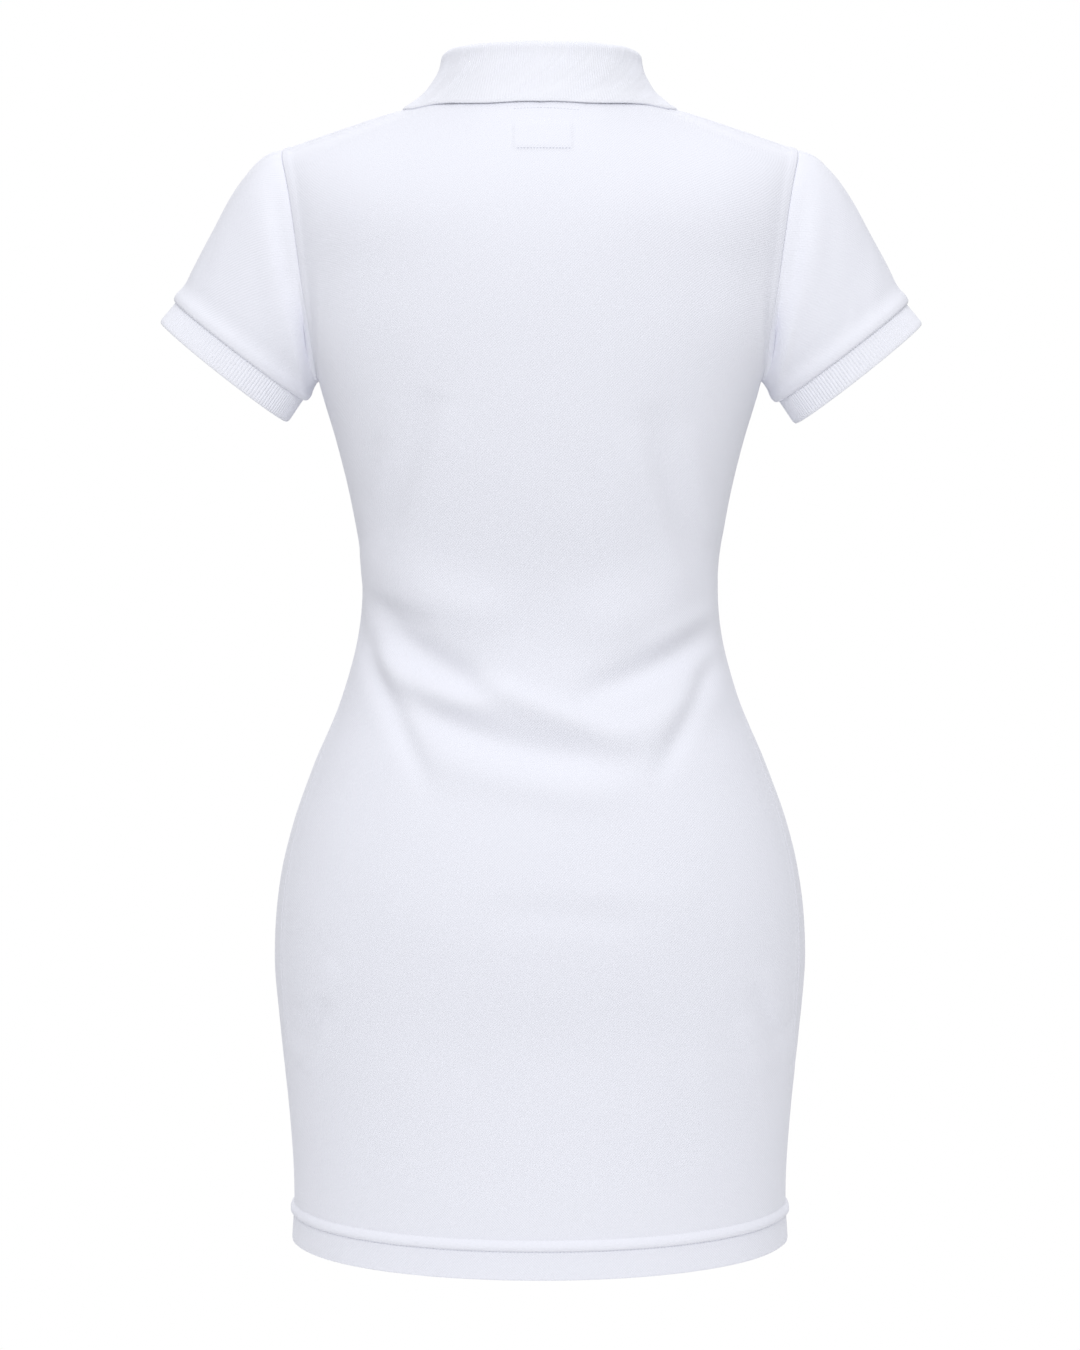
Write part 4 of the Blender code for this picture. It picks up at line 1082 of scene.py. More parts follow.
    def hem_ridge(self, z: Array) -> Array:
        """The ridge above the hem: it swells from above and rolls in sharply below."""
        way = (BODY.hem_z + self.ridge_above - z) / self.ridge_width + 0.5
        rise = np.sin(math.pi / 2 * np.clip(way / self.ridge_crest, 0, 1)) ** self.ridge_swell
        drop = np.clip((way - self.ridge_crest) / (1 - self.ridge_crest), 0, 1)
        return self.ridge_height * rise * np.sqrt(1 - drop**2)

    def shape(self) -> None:
        """Adds folds, the fullness of the front and slight unevenness to the form."""
        x, z = self.smooth[..., 0], self.smooth[..., 2]
        relief = self.fold_relief(x, z)
        if self.side is Side.FRONT:
            apart = (np.abs(x) - self.bust_apart) / self.bust_spread
            down = (z - self.bust_z) / self.bust_spread
            relief += self.bust_fullness * np.exp(-(apart**2) - down**2)
        relief += self.uneven_height * ripples(x, z, 5 + self.side.value, self.uneven_length)
        from_side = 1 - np.abs(self.columns - self.half) / self.half
        relief *= ease(from_side / self.free_side) * BODY.below_shoulder(x, z)
        self.points = self.smooth + self.facing * relief[..., None]
        self.facing = facing_of(self.points, False, self.outwards)

    def label_relief(self, x: Array, z: Array) -> Array:
        """The neck label pressing through: a low plateau with soft edges."""
        if self.side is Side.FRONT:
            return np.zeros_like(x)
        across = ease((self.label_half - np.abs(x - self.label_x)) / 1.8)
        down = ease((z - self.label_bottom) / 1.4) * ease((self.label_top - z) / 1.4)
        return self.label_height * across * down

    def wall(self) -> Wall:
        """The finished cloth with rolled edges, as outer and inner grids."""
        x, z = self.smooth[..., 0], self.smooth[..., 2]
        from_left = run_along(self.points, 1)
        from_right = from_left[:, -1:] - from_left
        from_top = run_along(self.points, 0)
        to_seam = np.minimum(from_left, from_right)
        row = np.arange(len(x))[:, None]
        at_armhole = ease((self.upper_rows - row) / 6.0)
        band = self.band_raise * at_armhole * (1 - ease((to_seam - self.band_width + 1.5) / 3.0))
        if self.side is Side.BACK:
            beside_neck = ease((np.abs(x) - BODY.neck_half) / 8)
            near_top = 1 - ease((from_top - self.neck_width) / 2.5)
            band = np.maximum(band, self.neck_raise * beside_neck * near_top)
        side_seam = self.side_raise * (1 - at_armhole) * (1 - ease((to_seam - self.side_width) / 3.0))
        ridge_z = BODY.hem_z + self.ridge_above
        below_ridge = np.clip(ridge_z - z, 0, None)
        raised = band + side_seam + self.hem_ridge(z) + self.label_relief(x, z) + self.hem_flare * below_ridge
        roll = self.seam_roll * blend(0.75, 1.0, at_armhole)
        sunk = roll * (1 - np.sqrt(np.clip(1 - np.clip(1 - to_seam / roll, 0, 1) ** 2, 0, 1)))
        sunk = sunk + rolled(from_top, self.top_roll)
        hem_away = from_top[-1:] - from_top
        sunk = sunk + rolled(hem_away, self.hem_roll)
        in_band = ease((ridge_z + self.ridge_width - z) / self.ridge_width)
        thick = blend(self.cloth, self.hem_thick, in_band) - rolled(hem_away, self.hem_roll)
        outer = self.points + self.facing * (raised - sunk)[..., None]
        inner = self.points - self.facing * thick[..., None]
        middle = [x.shape[1] // 2]
        uv = np.stack([from_left - from_left[:, middle], -from_top[:, middle] + 0 * x], axis=-1)
        self.outer = outer
        return Wall(outer, inner, uv, missing=self.slot())

    def slot(self) -> Optional[Array]:
        """The coarse cells that the placket's slot removes from the front."""
        if self.side is Side.BACK:
            return None
        rows, columns = self.smooth.shape[:2]
        missing = np.zeros(((rows - 1) // 2, (columns - 1) // 2), bool)
        middle = (columns - 1) // 4
        reach = self.steps // 2
        missing[: self.upper_rows // 2, middle - reach : middle + reach] = True
        return missing

    def on_surface(self, x: Array, z: Array) -> tuple[Array, Array]:
        """Points of the finished outer face at places (x, z), and which way they face.

        Args:
            x, z: where, well inside the panel.

        Returns:
            Points and directions, from the nearest grid point and the grid's own steps.
        """
        grid = self.outer
        across = np.gradient(grid, axis=1)
        down = np.gradient(grid, axis=0)
        flat = grid.reshape(-1, 3)
        away = (flat[:, 0] - x[:, None]) ** 2 + (flat[:, 2] - z[:, None]) ** 2
        nearest = np.argmin(away, axis=1)
        p = flat[nearest]
        a = across.reshape(-1, 3)[nearest]
        d = down.reshape(-1, 3)[nearest]
        size = a[:, 0] * d[:, 2] - a[:, 2] * d[:, 0]
        dx, dz = x - p[:, 0], z - p[:, 2]
        s = (dx * d[:, 2] - dz * d[:, 0]) / size
        t = (a[:, 0] * dz - a[:, 2] * dx) / size
        place = p + a * s[:, None] + d * t[:, None]
        return place, self.facing.reshape(-1, 3)[nearest]


def share_side_seams(back: PanelCloth, front: PanelCloth) -> None:
    """Gives both panels the mean facing along their seams, and tips the back's top edge up."""
    for edge in (0, -1):
        mean = unit(back.facing[:, edge] + front.facing[:, edge])
        back.facing[:, edge] = mean
        front.facing[:, edge] = mean
    mean = unit(back.facing[0] + np.array([0, 0, 0.4]))
    back.facing[0] = mean


# ---------------------------------------------------------------- sleeves and cuffs


@dataclass(frozen=True)
class SleeveEnd:
    """The ring across the end of a sleeve, which the cuff hangs from."""

    side: int  # 1 for the wearer's left, -1 for the right
    over: tuple[float, float] = (251.8, -135.4)  # (x, z) over the arm
    under: tuple[float, float] = (161.8, -204.3)
    half_depth: float = 43.0
    forward: float = -6.0
    right_out: float = 1.6
    right_down: float = 1.1
    tilt: float = 1.0

    @property
    def across(self) -> Array:
        """The direction from under the arm to over it, on the left side."""
        return unit(np.array([self.over[0] - self.under[0], 0, self.over[1] - self.under[1]]))

    def ring(self, turn: Array, shift: Array, shrink: Array) -> Array:
        """Points round the arm.

        Args:
            turn: 0 over the arm and a quarter turn behind it.
            shift: how far along the arm from the sleeve's end.
            shrink: how far inside the sleeve's outer face.

        Returns:
            The points of an ellipse square to the arm, shrunk and shifted.
        """
        across = self.across
        arm = np.array([across[2], 0, -across[0]])
        middle_x = (self.over[0] + self.under[0]) / 2
        middle_z = (self.over[1] + self.under[1]) / 2
        middle = np.array([middle_x, self.forward, middle_z])
        long_half = math.dist(self.over, self.under) / 2 - shrink
        deep_half = self.half_depth - shrink
        tilted = shift - np.cos(turn) * self.tilt * (shift > 0)
        ring = middle + arm * tilted[..., None] + (np.cos(turn) * long_half)[..., None] * across
        ring = ring + (np.sin(turn) * deep_half)[..., None] * BACKWARDS
        if self.side < 0:
            ring = ring + np.array([self.right_out, 0, -self.right_down])
        return ring * np.array([self.side, 1, 1])


class ArmPlace(NamedTuple):
    """A place round the arm, in half turns from over it by the back, and a bell there."""

    half_turns: float
    width: float
    share: float


@dataclass
class SleeveCloth:
    """A set-in sleeve from the armhole of both panels to its rounded lip."""

    back: PanelCloth
    front: PanelCloth
    side: int
    cloth: float = 1.4
    start_pull: float = 0.74
    end_pull: float = 0.86
    seam_roll: float = 1.0
    lip_roll: float = 2.5
    lip_swell: float = 1.1
    trough_depth: float = 2.3
    trough_away: float = 10.0  # from the seam
    ridge_height: float = 0.7
    ridge_away: float = 24.0
    tuck: float = 8.0  # depth of the cloth tucked in beside the seam under the arm
    tuck_reach: float = 20.0
    seam_reach: float = 3.0
    top_reach: float = 150.0  # from the underarm to where the sleeve starts fully sideways
    start_arm: float = 0.55  # shares of the directions in which the sleeve starts
    start_aside: float = 1.1
    start_out: float = 0.25
    start_rise: float = 0.12
    weave_round: float = 380.0  # length of the weave round the arm
    troughs: tuple[ArmPlace, ...] = (ArmPlace(0.42, 0.55, 1.0), ArmPlace(1.6, 0.5, 0.8))
    tucks: tuple[ArmPlace, ...] = (ArmPlace(0.74, 0.45, 1.0), ArmPlace(1.27, 0.45, 0.7))

    def rows(self) -> Array:
        """Shares of the way from armhole to end, closer at both."""
        start = 0.05 * np.linspace(0, 1, 9)[:-1] ** 1.6
        middle = np.linspace(0.05, 0.93, 51)[:-1]
        end = 1 - 0.07 * np.linspace(1, 0, 15) ** 1.5
        return np.concatenate([start, middle, end])

    def build(self, name: str) -> bpy.types.Object:
        """Makes the sleeve.

        Args:
            name: the object's name.

        Returns:
            The object. Each column is a cubic from the armhole to the end ring, which
            leaves the armhole sideways and arrives along the arm.
        """
        end = SleeveEnd(self.side)
        rows = self.back.upper_rows + 1
        edge = 0 if self.side > 0 else -1
        behind = self.back.points[:rows, edge]
        before = self.front.points[:rows, edge]
        armhole = np.concatenate([behind, before[-2:0:-1]])
        body_facing = np.concatenate([self.back.facing[:rows, edge], self.front.facing[:rows, edge][-2:0:-1]])
        count = len(armhole)
        turn = 2 * math.pi * np.arange(count) / count
        zero = np.zeros(count)
        ring = end.ring(turn, zero, zero)
        arm = end.ring(turn[:1], zero[:1] - 1, zero[:1]) - end.ring(turn[:1], zero[:1], zero[:1])
        arm = -unit(arm[0])
        reach = np.linalg.norm(ring - armhole, axis=1, keepdims=True)
        outwards = unit(armhole - armhole.mean(axis=0))
        top_share = ease((armhole[:, 2:] - BODY.underarm_z) / self.top_reach)
        sideways = np.array([self.side, 0, self.start_rise]) * top_share
        start = unit(arm * self.start_arm + sideways * self.start_aside + outwards * self.start_out)
        t = self.rows()[:, None, None]
        grid = (1 + 2 * t) * (1 - t) ** 2 * armhole + t * t * (3 - 2 * t) * ring
        grid = grid + t * (1 - t) ** 2 * self.start_pull * start * reach
        grid = grid + t * t * (t - 1) * self.end_pull * arm * reach
        facing = facing_of(grid, True, grid - grid.mean(axis=1, keepdims=True))
        from_seam = run_along(grid, 0)
        to_end = from_seam[-1:] - from_seam
        grid = grid + facing * self.relief(turn, from_seam, to_end)[..., None]
        facing = facing_of(grid, True, facing)
        shared = unit(facing[0] + body_facing)
        near_seam = (1 - ease(from_seam / self.seam_reach))[..., None]
        facing = unit(blend(facing, shared[None], near_seam))
        sunk = rolled(from_seam, self.seam_roll) + rolled(to_end, self.lip_roll)
        thick = self.cloth + (self.lip_roll + 0.2 - self.cloth) * (1 - ease(to_end / 4.0))
        outer = grid - facing * sunk[..., None]
        inner = grid - facing * thick[..., None]
        around = turn / (2 * math.pi) * self.weave_round
        uv = np.stack([around + 0 * from_seam, -from_seam], axis=-1)
        return Wall(outer, inner, uv, closed=True).build(name)

    @staticmethod
    def bells_round(turn: Array, places: Sequence[ArmPlace]) -> Array:
        """The sum of the bells at these places round the arm."""
        return sum(place.share * bell(turn - place.half_turns * math.pi, place.width) for place in places)

    def relief(self, turn: Array, from_seam: Array, to_end: Array) -> Array:
        """How far the cloth stands out from its smooth form.

        Args:
            turn: 0 over the arm and a quarter turn behind it.
            from_seam, to_end: distances from the armhole seam and to the sleeve's end.

        Returns:
            Soft troughs beside the seam with a low ridge beyond them, the tuck under the
            arm, the swollen lip with a shallow before it, and ripples.
        """
        behind = self.bells_round(turn, self.troughs)
        trough = -self.trough_depth * behind * bell(from_seam - self.trough_away, 7.0)
        beside = self.ridge_height * behind * bell(from_seam - self.ridge_away, 11.0)
        low = self.bells_round(turn, self.tucks)
        tuck = -self.tuck * low * ease(from_seam / self.seam_reach)
        tuck = tuck * (1 - ease((from_seam - 1) / self.tuck_reach))
        swell = self.lip_swell * bell(to_end - 5.0, 4.4)
        shallow = -0.5 * bell(to_end - 15.0, 6.0)
        fade = ease(from_seam / 8.0) * ease((to_end - 3) / 10.0)
        uneven = 0.4 * ripples(turn * 60, from_seam, 11 + self.side, 80)
        return trough + beside + tuck + swell + shallow + uneven * fade


@dataclass
class Cuff:
    """A narrow cuff of 1x1 rib, tucked into the sleeve and rounded at its free edge."""

    side: int
    shows: float = 18.0
    tucked: float = 3.5
    gap: float = 2.55  # from the sleeve's outer face to the bottom of the ribs
    rib_height: float = 0.62
    rib_pitch: float = 2.2
    per_rib: int = 6
    thick: float = 1.7
    edge_roll: float = 0.75
    edge_zone: float = 1.2
    flare: float = 0.8
    rib_power: float = 0.8  # the smaller, the narrower the grooves

    def build(self, name: str) -> bpy.types.Object:
        """Makes the cuff: round tops with narrow grooves, |cos| of the half turn."""
        end = SleeveEnd(self.side)
        long_half = math.dist(end.over, end.under) / 2 - self.gap
        deep_half = end.half_depth - self.gap
        around = 2 * math.pi * math.sqrt((long_half**2 + deep_half**2) / 2)
        ribs = 2 * round(around / self.rib_pitch / 2)
        count = ribs * self.per_rib
        turn = 2 * math.pi * np.arange(count) / count
        first = np.linspace(-self.tucked, self.shows - self.edge_zone, 17)
        last = self.shows - self.edge_zone * (1 - np.linspace(0, 1, 8)[1:]) ** 2
        shift = np.concatenate([first, last])[:, None]
        chance = np.random.default_rng(3 + self.side)
        uneven = np.repeat(chance.uniform(0.85, 1.1, ribs), self.per_rib)
        wander = 0.06 * ripples(turn[None] * 50 + 0 * shift, shift * 6 + 0 * turn, 23 + self.side, 60)
        phase = ribs / 2 * turn[None] + wander
        rib = self.rib_height * np.abs(np.cos(phase)) ** self.rib_power * uneven
        flare = self.flare * ease((shift + 1) / (self.shows + 1))
        to_edge = np.clip(self.shows - shift, 0, None)
        sunk = rolled(to_edge, self.edge_roll)
        edge_fade = blend(0.15, 1.0, ease((to_edge - 0.3) / 1.7))
        turns = turn[None] + 0 * shift
        shifts = shift + 0 * turn[None]
        outer = end.ring(turns, shifts, self.gap - flare - rib * edge_fade + sunk)
        inner = end.ring(turns, shifts, self.gap - flare + self.thick - sunk)
        uv = np.stack([turns / (2 * math.pi) * around, -shifts], axis=-1)
        wall = Wall(outer, inner, uv, closed=True, row_step=1, column_step=self.per_rib)
        return wall.build(name)


# ---------------------------------------------------------------- collar


class CollarCut(NamedTuple):
    """A cut through the collar: turn 0 is the middle of the back, 180 the front."""

    turn: float
    stand: float
    lean: float
    edge_x: float
    edge_y: float
    edge_z: float
    bow: float


@dataclass
class Collar:
    """A flat-knit rib collar: a stand up from the neckline, a fold and a leaf."""

    panels: tuple[PanelCloth, ...]
    fold_radius: float = 2.6
    seam_lift: float = 0.35
    over_cloth: float = 2.0  # how high the leaf's edge lies over the back
    over_side: float = 1.0  # and over the shoulders
    over_front: float = 3.4  # and over the front
    side_turns: tuple[float, float] = (42.0, 26.0)  # where that changes, and for how long
    front_turns: tuple[float, float] = (95.0, 50.0)
    evened: int = 25  # points of the edge over which its move is evened out
    seam_in: float = 0.6
    aside: float = -1.1
    stand_hollow: float = 0.8
    thick: float = 1.6
    rib_pitch: float = 1.62
    rib_height: float = 0.5
    per_rib: int = 4
    rib_power: float = 0.8
    stand_ribs: float = 0.45  # height of the stand's ribs, as a share of the leaf's
    leaf_starts: float = 24.0  # from the neck seam
    edge_roll: float = 0.7
    cuts: tuple[CollarCut, ...] = (
        CollarCut(0, 29.3, 5.0, 0.0, 67.3, -5.0, 1.0),
        CollarCut(30, 28.9, 4.5, 40.0, 60.0, -4.4, 1.5),
        CollarCut(60, 27.2, 3.8, 75.5, 29.5, -3.2, 3.0),
        CollarCut(90, 23.6, 3.2, 93.5, 2.5, -3.0, 5.0),
        CollarCut(120, 27.0, 4.0, 88.0, -47.0, -19.0, 2.5),
        CollarCut(150, 22.0, 5.0, 70.0, -83.0, -56.0, 0.5),
        CollarCut(174, 13.0, 4.0, 46.0, -97.0, -96.0, 0.0),
    )

    def read(self, name: str, turns: Array) -> Array:
        """One column of the cuts, read smoothly at the turns."""
        return smooth_through([c.turn for c in self.cuts], [getattr(c, name) for c in self.cuts], turns)

    @staticmethod
    def neckline(turns: Array) -> Array:
        """The neckline's point at each turn from the middle of the back, left side."""
        angle = np.radians(turns)
        x = BODY.neck_half * np.sin(angle)
        back_y, back_z = BODY.top_edge(x, Side.BACK)
        front_y, front_z = BODY.top_edge(x, Side.FRONT)
        behind = np.cos(angle) >= 0
        return np.stack([x, np.where(behind, back_y, front_y), np.where(behind, back_z, front_z)], axis=-1)

    def knot_rows(self, turns: Array, side: int) -> Array:
        """Rows from the neck seam up the stand, over the fold and down the leaf."""
        angle = np.radians(turns)
        out = np.stack([np.sin(angle), np.cos(angle), 0 * angle], axis=-1)
        stand = self.read("stand", turns)[:, None]
        lean = self.read("lean", turns)[:, None]
        edge = np.stack([self.read(name, turns) for name in ("edge_x", "edge_y", "edge_z")], axis=-1)
        edge = self.laid_down(edge, turns)
        bow = self.read("bow", turns)[:, None]
        foot = self.neckline(turns) + UP * self.seam_lift - out * self.seam_in
        crest = foot + UP * stand - out * lean
        rows = [foot, blend(foot, crest, 0.5) - out * self.stand_hollow]
        leaf_start = crest + out * 2 * self.fold_radius
        down = unit(edge - leaf_start)
        for degrees in (0, 40, 90, 140):
            a = math.radians(degrees)
            over = out * self.fold_radius * (1 - math.cos(a)) + UP * self.fold_radius * math.sin(a)
            rows.append(crest + over)
        sideways = unit(np.cross(np.cross(down, out), down))
        for way in (0.06, 0.36, 0.68, 1.0):
            rows.append(blend(leaf_start, edge, way) - sideways * bow * 4 * way * (1 - way))
        made = np.array(rows) * np.array([side, 1, 1])
        made[..., 0] += self.aside * ease(made[..., 2] / self.cuts[0].stand)
        return made

    def laid_down(self, edge: Array, turns: Array) -> Array:
        """The leaf's edge, laid over the panels: closest at the sides, highest in front."""
        cloth = np.concatenate([panel.outer[: panel.upper_rows].reshape(-1, 3) for panel in self.panels])
        facing = np.concatenate([panel.facing[: panel.upper_rows].reshape(-1, 3) for panel in self.panels])
        close = (cloth[:, 2] > -118) & (cloth[:, 0] > -5) & (cloth[:, 0] < 120)
        cloth, facing = cloth[close], facing[close]
        nearest = np.argmin(((edge[:, None] - cloth) ** 2).sum(-1), axis=1)
        out = facing[nearest]
        over = ((edge - cloth[nearest]) * out).sum(-1)
        at_side = ease((turns - self.side_turns[0]) / self.side_turns[1])
        at_front = ease((turns - self.front_turns[0]) / self.front_turns[1])
        height = blend(blend(self.over_cloth, self.over_side, at_side), self.over_front, at_front)
        move = out * (height - over)[:, None]
        more = self.evened // 2
        ends = np.concatenate([np.repeat(move[:1], more, axis=0), move, np.repeat(move[-1:], more, axis=0)])
        window = np.ones(self.evened) / self.evened
        mean = np.stack([np.convolve(ends[:, axis], window, "valid") for axis in range(3)], axis=-1)
        return edge + mean

    def build(self, name: str) -> bpy.types.Object:
        """Makes the collar, with ribs that run from its seam to its edge."""
        dense = np.linspace(0, self.cuts[-1].turn, 400)
        run = run_along(self.neckline(dense)[:, None], 0)[:, 0]
        ribs = 2 * round(run[-1] / self.rib_pitch / 2)
        turns = np.interp(np.linspace(0, run[-1], ribs * self.per_rib // 2 * 2 + 1), run, dense)
        left = self.knot_rows(turns, 1)
        right = self.knot_rows(turns, -1)
        knots = np.concatenate([left[:, ::-1], right[:, 1:]], axis=1)
        stand = np.linspace(0, 0.36, 7)[:-1]
        fold = np.linspace(0.36, 0.58, 13)[:-1]
        leaf = np.linspace(0.58, 0.965, 19)[:-1]
        edge = 1 - 0.035 * (1 - np.linspace(0, 1, 8)) ** 1.6
        grid = spline(knots, np.concatenate([stand, fold, leaf, edge]))
        middle = grid.shape[1] // 2
        facing = facing_of(grid, False, UP)
        if facing[-1, middle, 1] < 0:
            facing = -facing
        from_seam = run_along(grid, 0)
        to_edge = from_seam[-1:] - from_seam
        from_left = run_along(grid, 1)
        to_end = np.minimum(from_left, from_left[:, -1:] - from_left)
        phase = np.arange(grid.shape[1]) - middle
        wander = 0.12 * ripples(phase * 0.4 + 0 * to_edge, to_edge * 5, 31, 60)
        phase = math.pi / self.per_rib * phase + wander
        plain_edge = ease((np.minimum(to_edge, to_end) - 0.9) / 0.9)
        on_leaf = ease((from_seam - self.leaf_starts) / 8)
        uneven_ribs = 0.75 + 0.35 * ripples(from_left, from_seam * 0.06, 43, 14)
        fullness = blend(self.stand_ribs, 1.0, on_leaf) * uneven_ribs
        rib = self.rib_height * (np.abs(np.cos(phase)) ** self.rib_power) * plain_edge * fullness
        bound = 0.06 * (1 - plain_edge)
        sunk = rolled(to_edge, self.edge_roll) + rolled(to_end, self.edge_roll)
        streaks = 0.1 * ripples(from_left, from_seam * 0.04, 47, 11)
        uneven = (0.22 * ripples(from_left, from_seam, 41, 55) + streaks) * on_leaf
        outer = grid + facing * (rib + bound + uneven - sunk)[..., None]
        thick = self.thick - uneven - np.minimum(sunk, 0.7)
        inner = grid - facing * thick[..., None]
        uv = np.stack([np.broadcast_to(from_left[-1:], from_left.shape), -from_seam], axis=-1)
        return Wall(outer, inner, uv, row_step=1, column_step=self.per_rib).build(name)


# ---------------------------------------------------------------- placket and buttons


def front_depth(x: Array, z: Array, panel: PanelCloth) -> Array:
    """Depth of the front near its middle, above and below the underarm."""
    above = BODY.upper_y(x, np.maximum(z, BODY.underarm_z), Side.FRONT)
    half = BODY.read("half_width", z)
    power = BODY.read("power", z)
    below = -BODY.read("front", z) * (1 - (np.abs(x) / half) ** power) ** (1 / power)
    flat = np.where(z >= BODY.underarm_z, above, below)
    apart = (np.abs(x) - panel.bust_apart) / panel.bust_spread
    down = (z - panel.bust_z) / panel.bust_spread
    fullness = panel.bust_fullness * np.exp(-(apart**2) - down**2)
    return flat - fullness * BODY.below_shoulder(x, z)


@dataclass
class PlacketStrip:
    """A strip of doubled cloth down the front's middle."""

    panel: PanelCloth
    half_width: float
    bottom_z: float
    lift: float
    thick: float
    buttons: tuple[float, ...] = ()
    roll: float = 0.7
    edge_zone: float = 1.2
    stitch_in: float = 3.0  # from the edge to its stitches, which pull the cloth in
    stitch_sink: float = 0.28
    button_sink: float = 0.35
    button_reach: float = 7.5

    def build(self, name: str) -> bpy.types.Object:
        """Makes the strip. The cloth sinks a little round each button."""
        near = self.edge_zone * np.linspace(0, 1, 7)[:-1] ** 1.8
        half = np.concatenate([near, np.linspace(self.edge_zone, self.half_width, 13)])
        x = self.half_width - np.concatenate([half, 2 * self.half_width - half[-2::-1]])
        _, top = BODY.top_edge(x, Side.FRONT)
        ways = np.concatenate([0.008 * np.linspace(0, 1, 6)[:-1], np.linspace(0.008, 0.992, 70)])
        ways = np.concatenate([ways, 1 - 0.008 * (1 - np.linspace(0, 1, 8)[1:]) ** 1.8])
        # One more near the top makes their number odd, as the wall's coarse rows need.
        ways = np.concatenate([ways[:1], [0.0008], ways[1:]])
        z = blend(top[None], self.bottom_z, ways[:, None])
        x = np.broadcast_to(x, z.shape)
        grid = np.stack([x, front_depth(x, z, self.panel), z], axis=-1)
        facing = facing_of(grid, False, -BACKWARDS)
        from_left = run_along(grid, 1)
        to_side = np.minimum(from_left, from_left[:, -1:] - from_left)
        from_top = run_along(grid, 0)
        to_bottom = from_top[-1:] - from_top
        to_edge = np.minimum(to_side, to_bottom)
        height = self.lift + self.thick - rolled(to_edge, self.roll)
        height = height - self.stitch_sink * bell(to_edge - self.stitch_in, 0.9)
        height = height + 0.12 * ripples(x, z, 51, 40)
        for button in self.buttons:
            height = height - self.button_sink * bell(np.hypot(x, z - button), self.button_reach)
        outer = grid + facing * height[..., None]
        inner = grid + facing * self.lift
        uv = np.stack([from_left, -from_top], axis=-1)
        self.grid = outer
        return Wall(outer, inner, uv).build(name)


@dataclass
class Button:
    """A round four-hole button with a raised rim, sewn through with crossed thread."""

    z: float
    lift: float
    panel: PanelCloth
    radius: float = 5.7
    thick: float = 2.4
    dish: float = 0.55
    rim: float = 1.5
    hole: float = 0.85
    hole_out: float = 1.95
    hole_depth: float = 1.3
    slope: float = 0.9  # width of the dish's slope
    round_from: float = 4.8  # where the outer edge starts to round off
    round_height: float = 0.75
    sides: int = 96
    face_rings: int = 22

    def frame(self) -> tuple[Array, Array, Array, Array]:
        """The button's centre, and its directions across, up along and away."""
        low, y, high = front_depth(np.zeros(3), self.z + np.array([-4.0, 0, 4.0]), self.panel)
        slope = math.atan2(high - low, 8.0)
        away = np.array([0, -math.cos(slope), math.sin(slope)])
        along = np.array([0, math.sin(slope), math.cos(slope)])
        return np.array([0, y, self.z]) + away * self.lift, np.array([1.0, 0, 0]), along, away

    def build(self, name: str) -> bpy.types.Object:
        """Turns a profile round and sinks the four holes into its face."""
        centre, across, along, away = self.frame()
        radii = [0.02, 0.5, 0.9, 1.05, 1.2, 1.4, 1.6, 1.8, 2.0, 2.2, 2.4, 2.6, 2.75, 2.9, 3.1, 3.5, 3.9]
        radii += [4.1, 4.3, 4.55, 4.8, 5.05, 5.3, 5.5, 5.62, 5.68, 5.7, 5.66, 5.5, 5.2, 4.6]
        radius = np.array(radii)
        inside_rim = self.radius - self.rim - self.slope
        top = self.thick - self.dish * (1 - ease((radius - inside_rim) / self.slope))
        out = np.clip((radius - self.round_from) / 0.9, 0, 1)
        height = top - self.round_height * (1 - np.sqrt(1 - out**2))
        height[-5:] = (1.1, 0.75, 0.35, 0.1, 0.0)
        turn = 2 * math.pi * np.arange(self.sides) / self.sides
        r, a = np.meshgrid(radius, turn, indexing="ij")
        h = np.broadcast_to(height[:, None], r.shape).copy()
        face = (np.arange(len(radius)) < self.face_rings)[:, None]
        face_x, face_y = r * np.cos(a), r * np.sin(a)
        for quarter in range(4):
            at = math.pi / 4 + quarter * math.pi / 2
            gone = np.hypot(face_x - self.hole_out * math.cos(at), face_y - self.hole_out * math.sin(at))
            h -= self.hole_depth * (1 - ease((gone - self.hole + 0.22) / 0.3)) * face
        grid = centre + across * face_x[..., None] + along * face_y[..., None] + away * h[..., None]
        parts = MeshParts()
        parts.add_points(grid, np.stack([face_x, face_y], axis=-1))
        rows, columns = r.shape
        row, column = np.meshgrid(np.arange(rows - 1), np.arange(columns), indexing="ij")
        beside = (column + 1) % columns
        quads = (row * columns + column, row * columns + beside)
        quads += ((row + 1) * columns + beside, (row + 1) * columns + column)
        parts.add_faces(np.stack(quads, axis=-1).reshape(-1, 4))
        parts.add_faces(np.arange(columns)[None, ::-1])
        parts.add_faces((rows - 1) * columns + np.arange(columns)[None])
        return parts.build(name, smooth_angle=40)

    def thread(self) -> tuple[Array, Array, Array]:
        """Middles, directions and facings of the two crossed threads."""
        centre, across, along, away = self.frame()
        middles, directions = [], []
        for sign in (1, -1):
            for shift in (-0.17, 0.17):
                direction = unit(across + sign * along)
                sideways = unit(across - sign * along)
                height = self.thick - self.dish + 0.05 + 0.16 * (sign > 0)
                middles.append(centre + away * height + sideways * shift)
                directions.append(direction)
        return np.array(middles), np.array(directions), np.repeat(away[None], 4, axis=0)


# ---------------------------------------------------------------- sewing


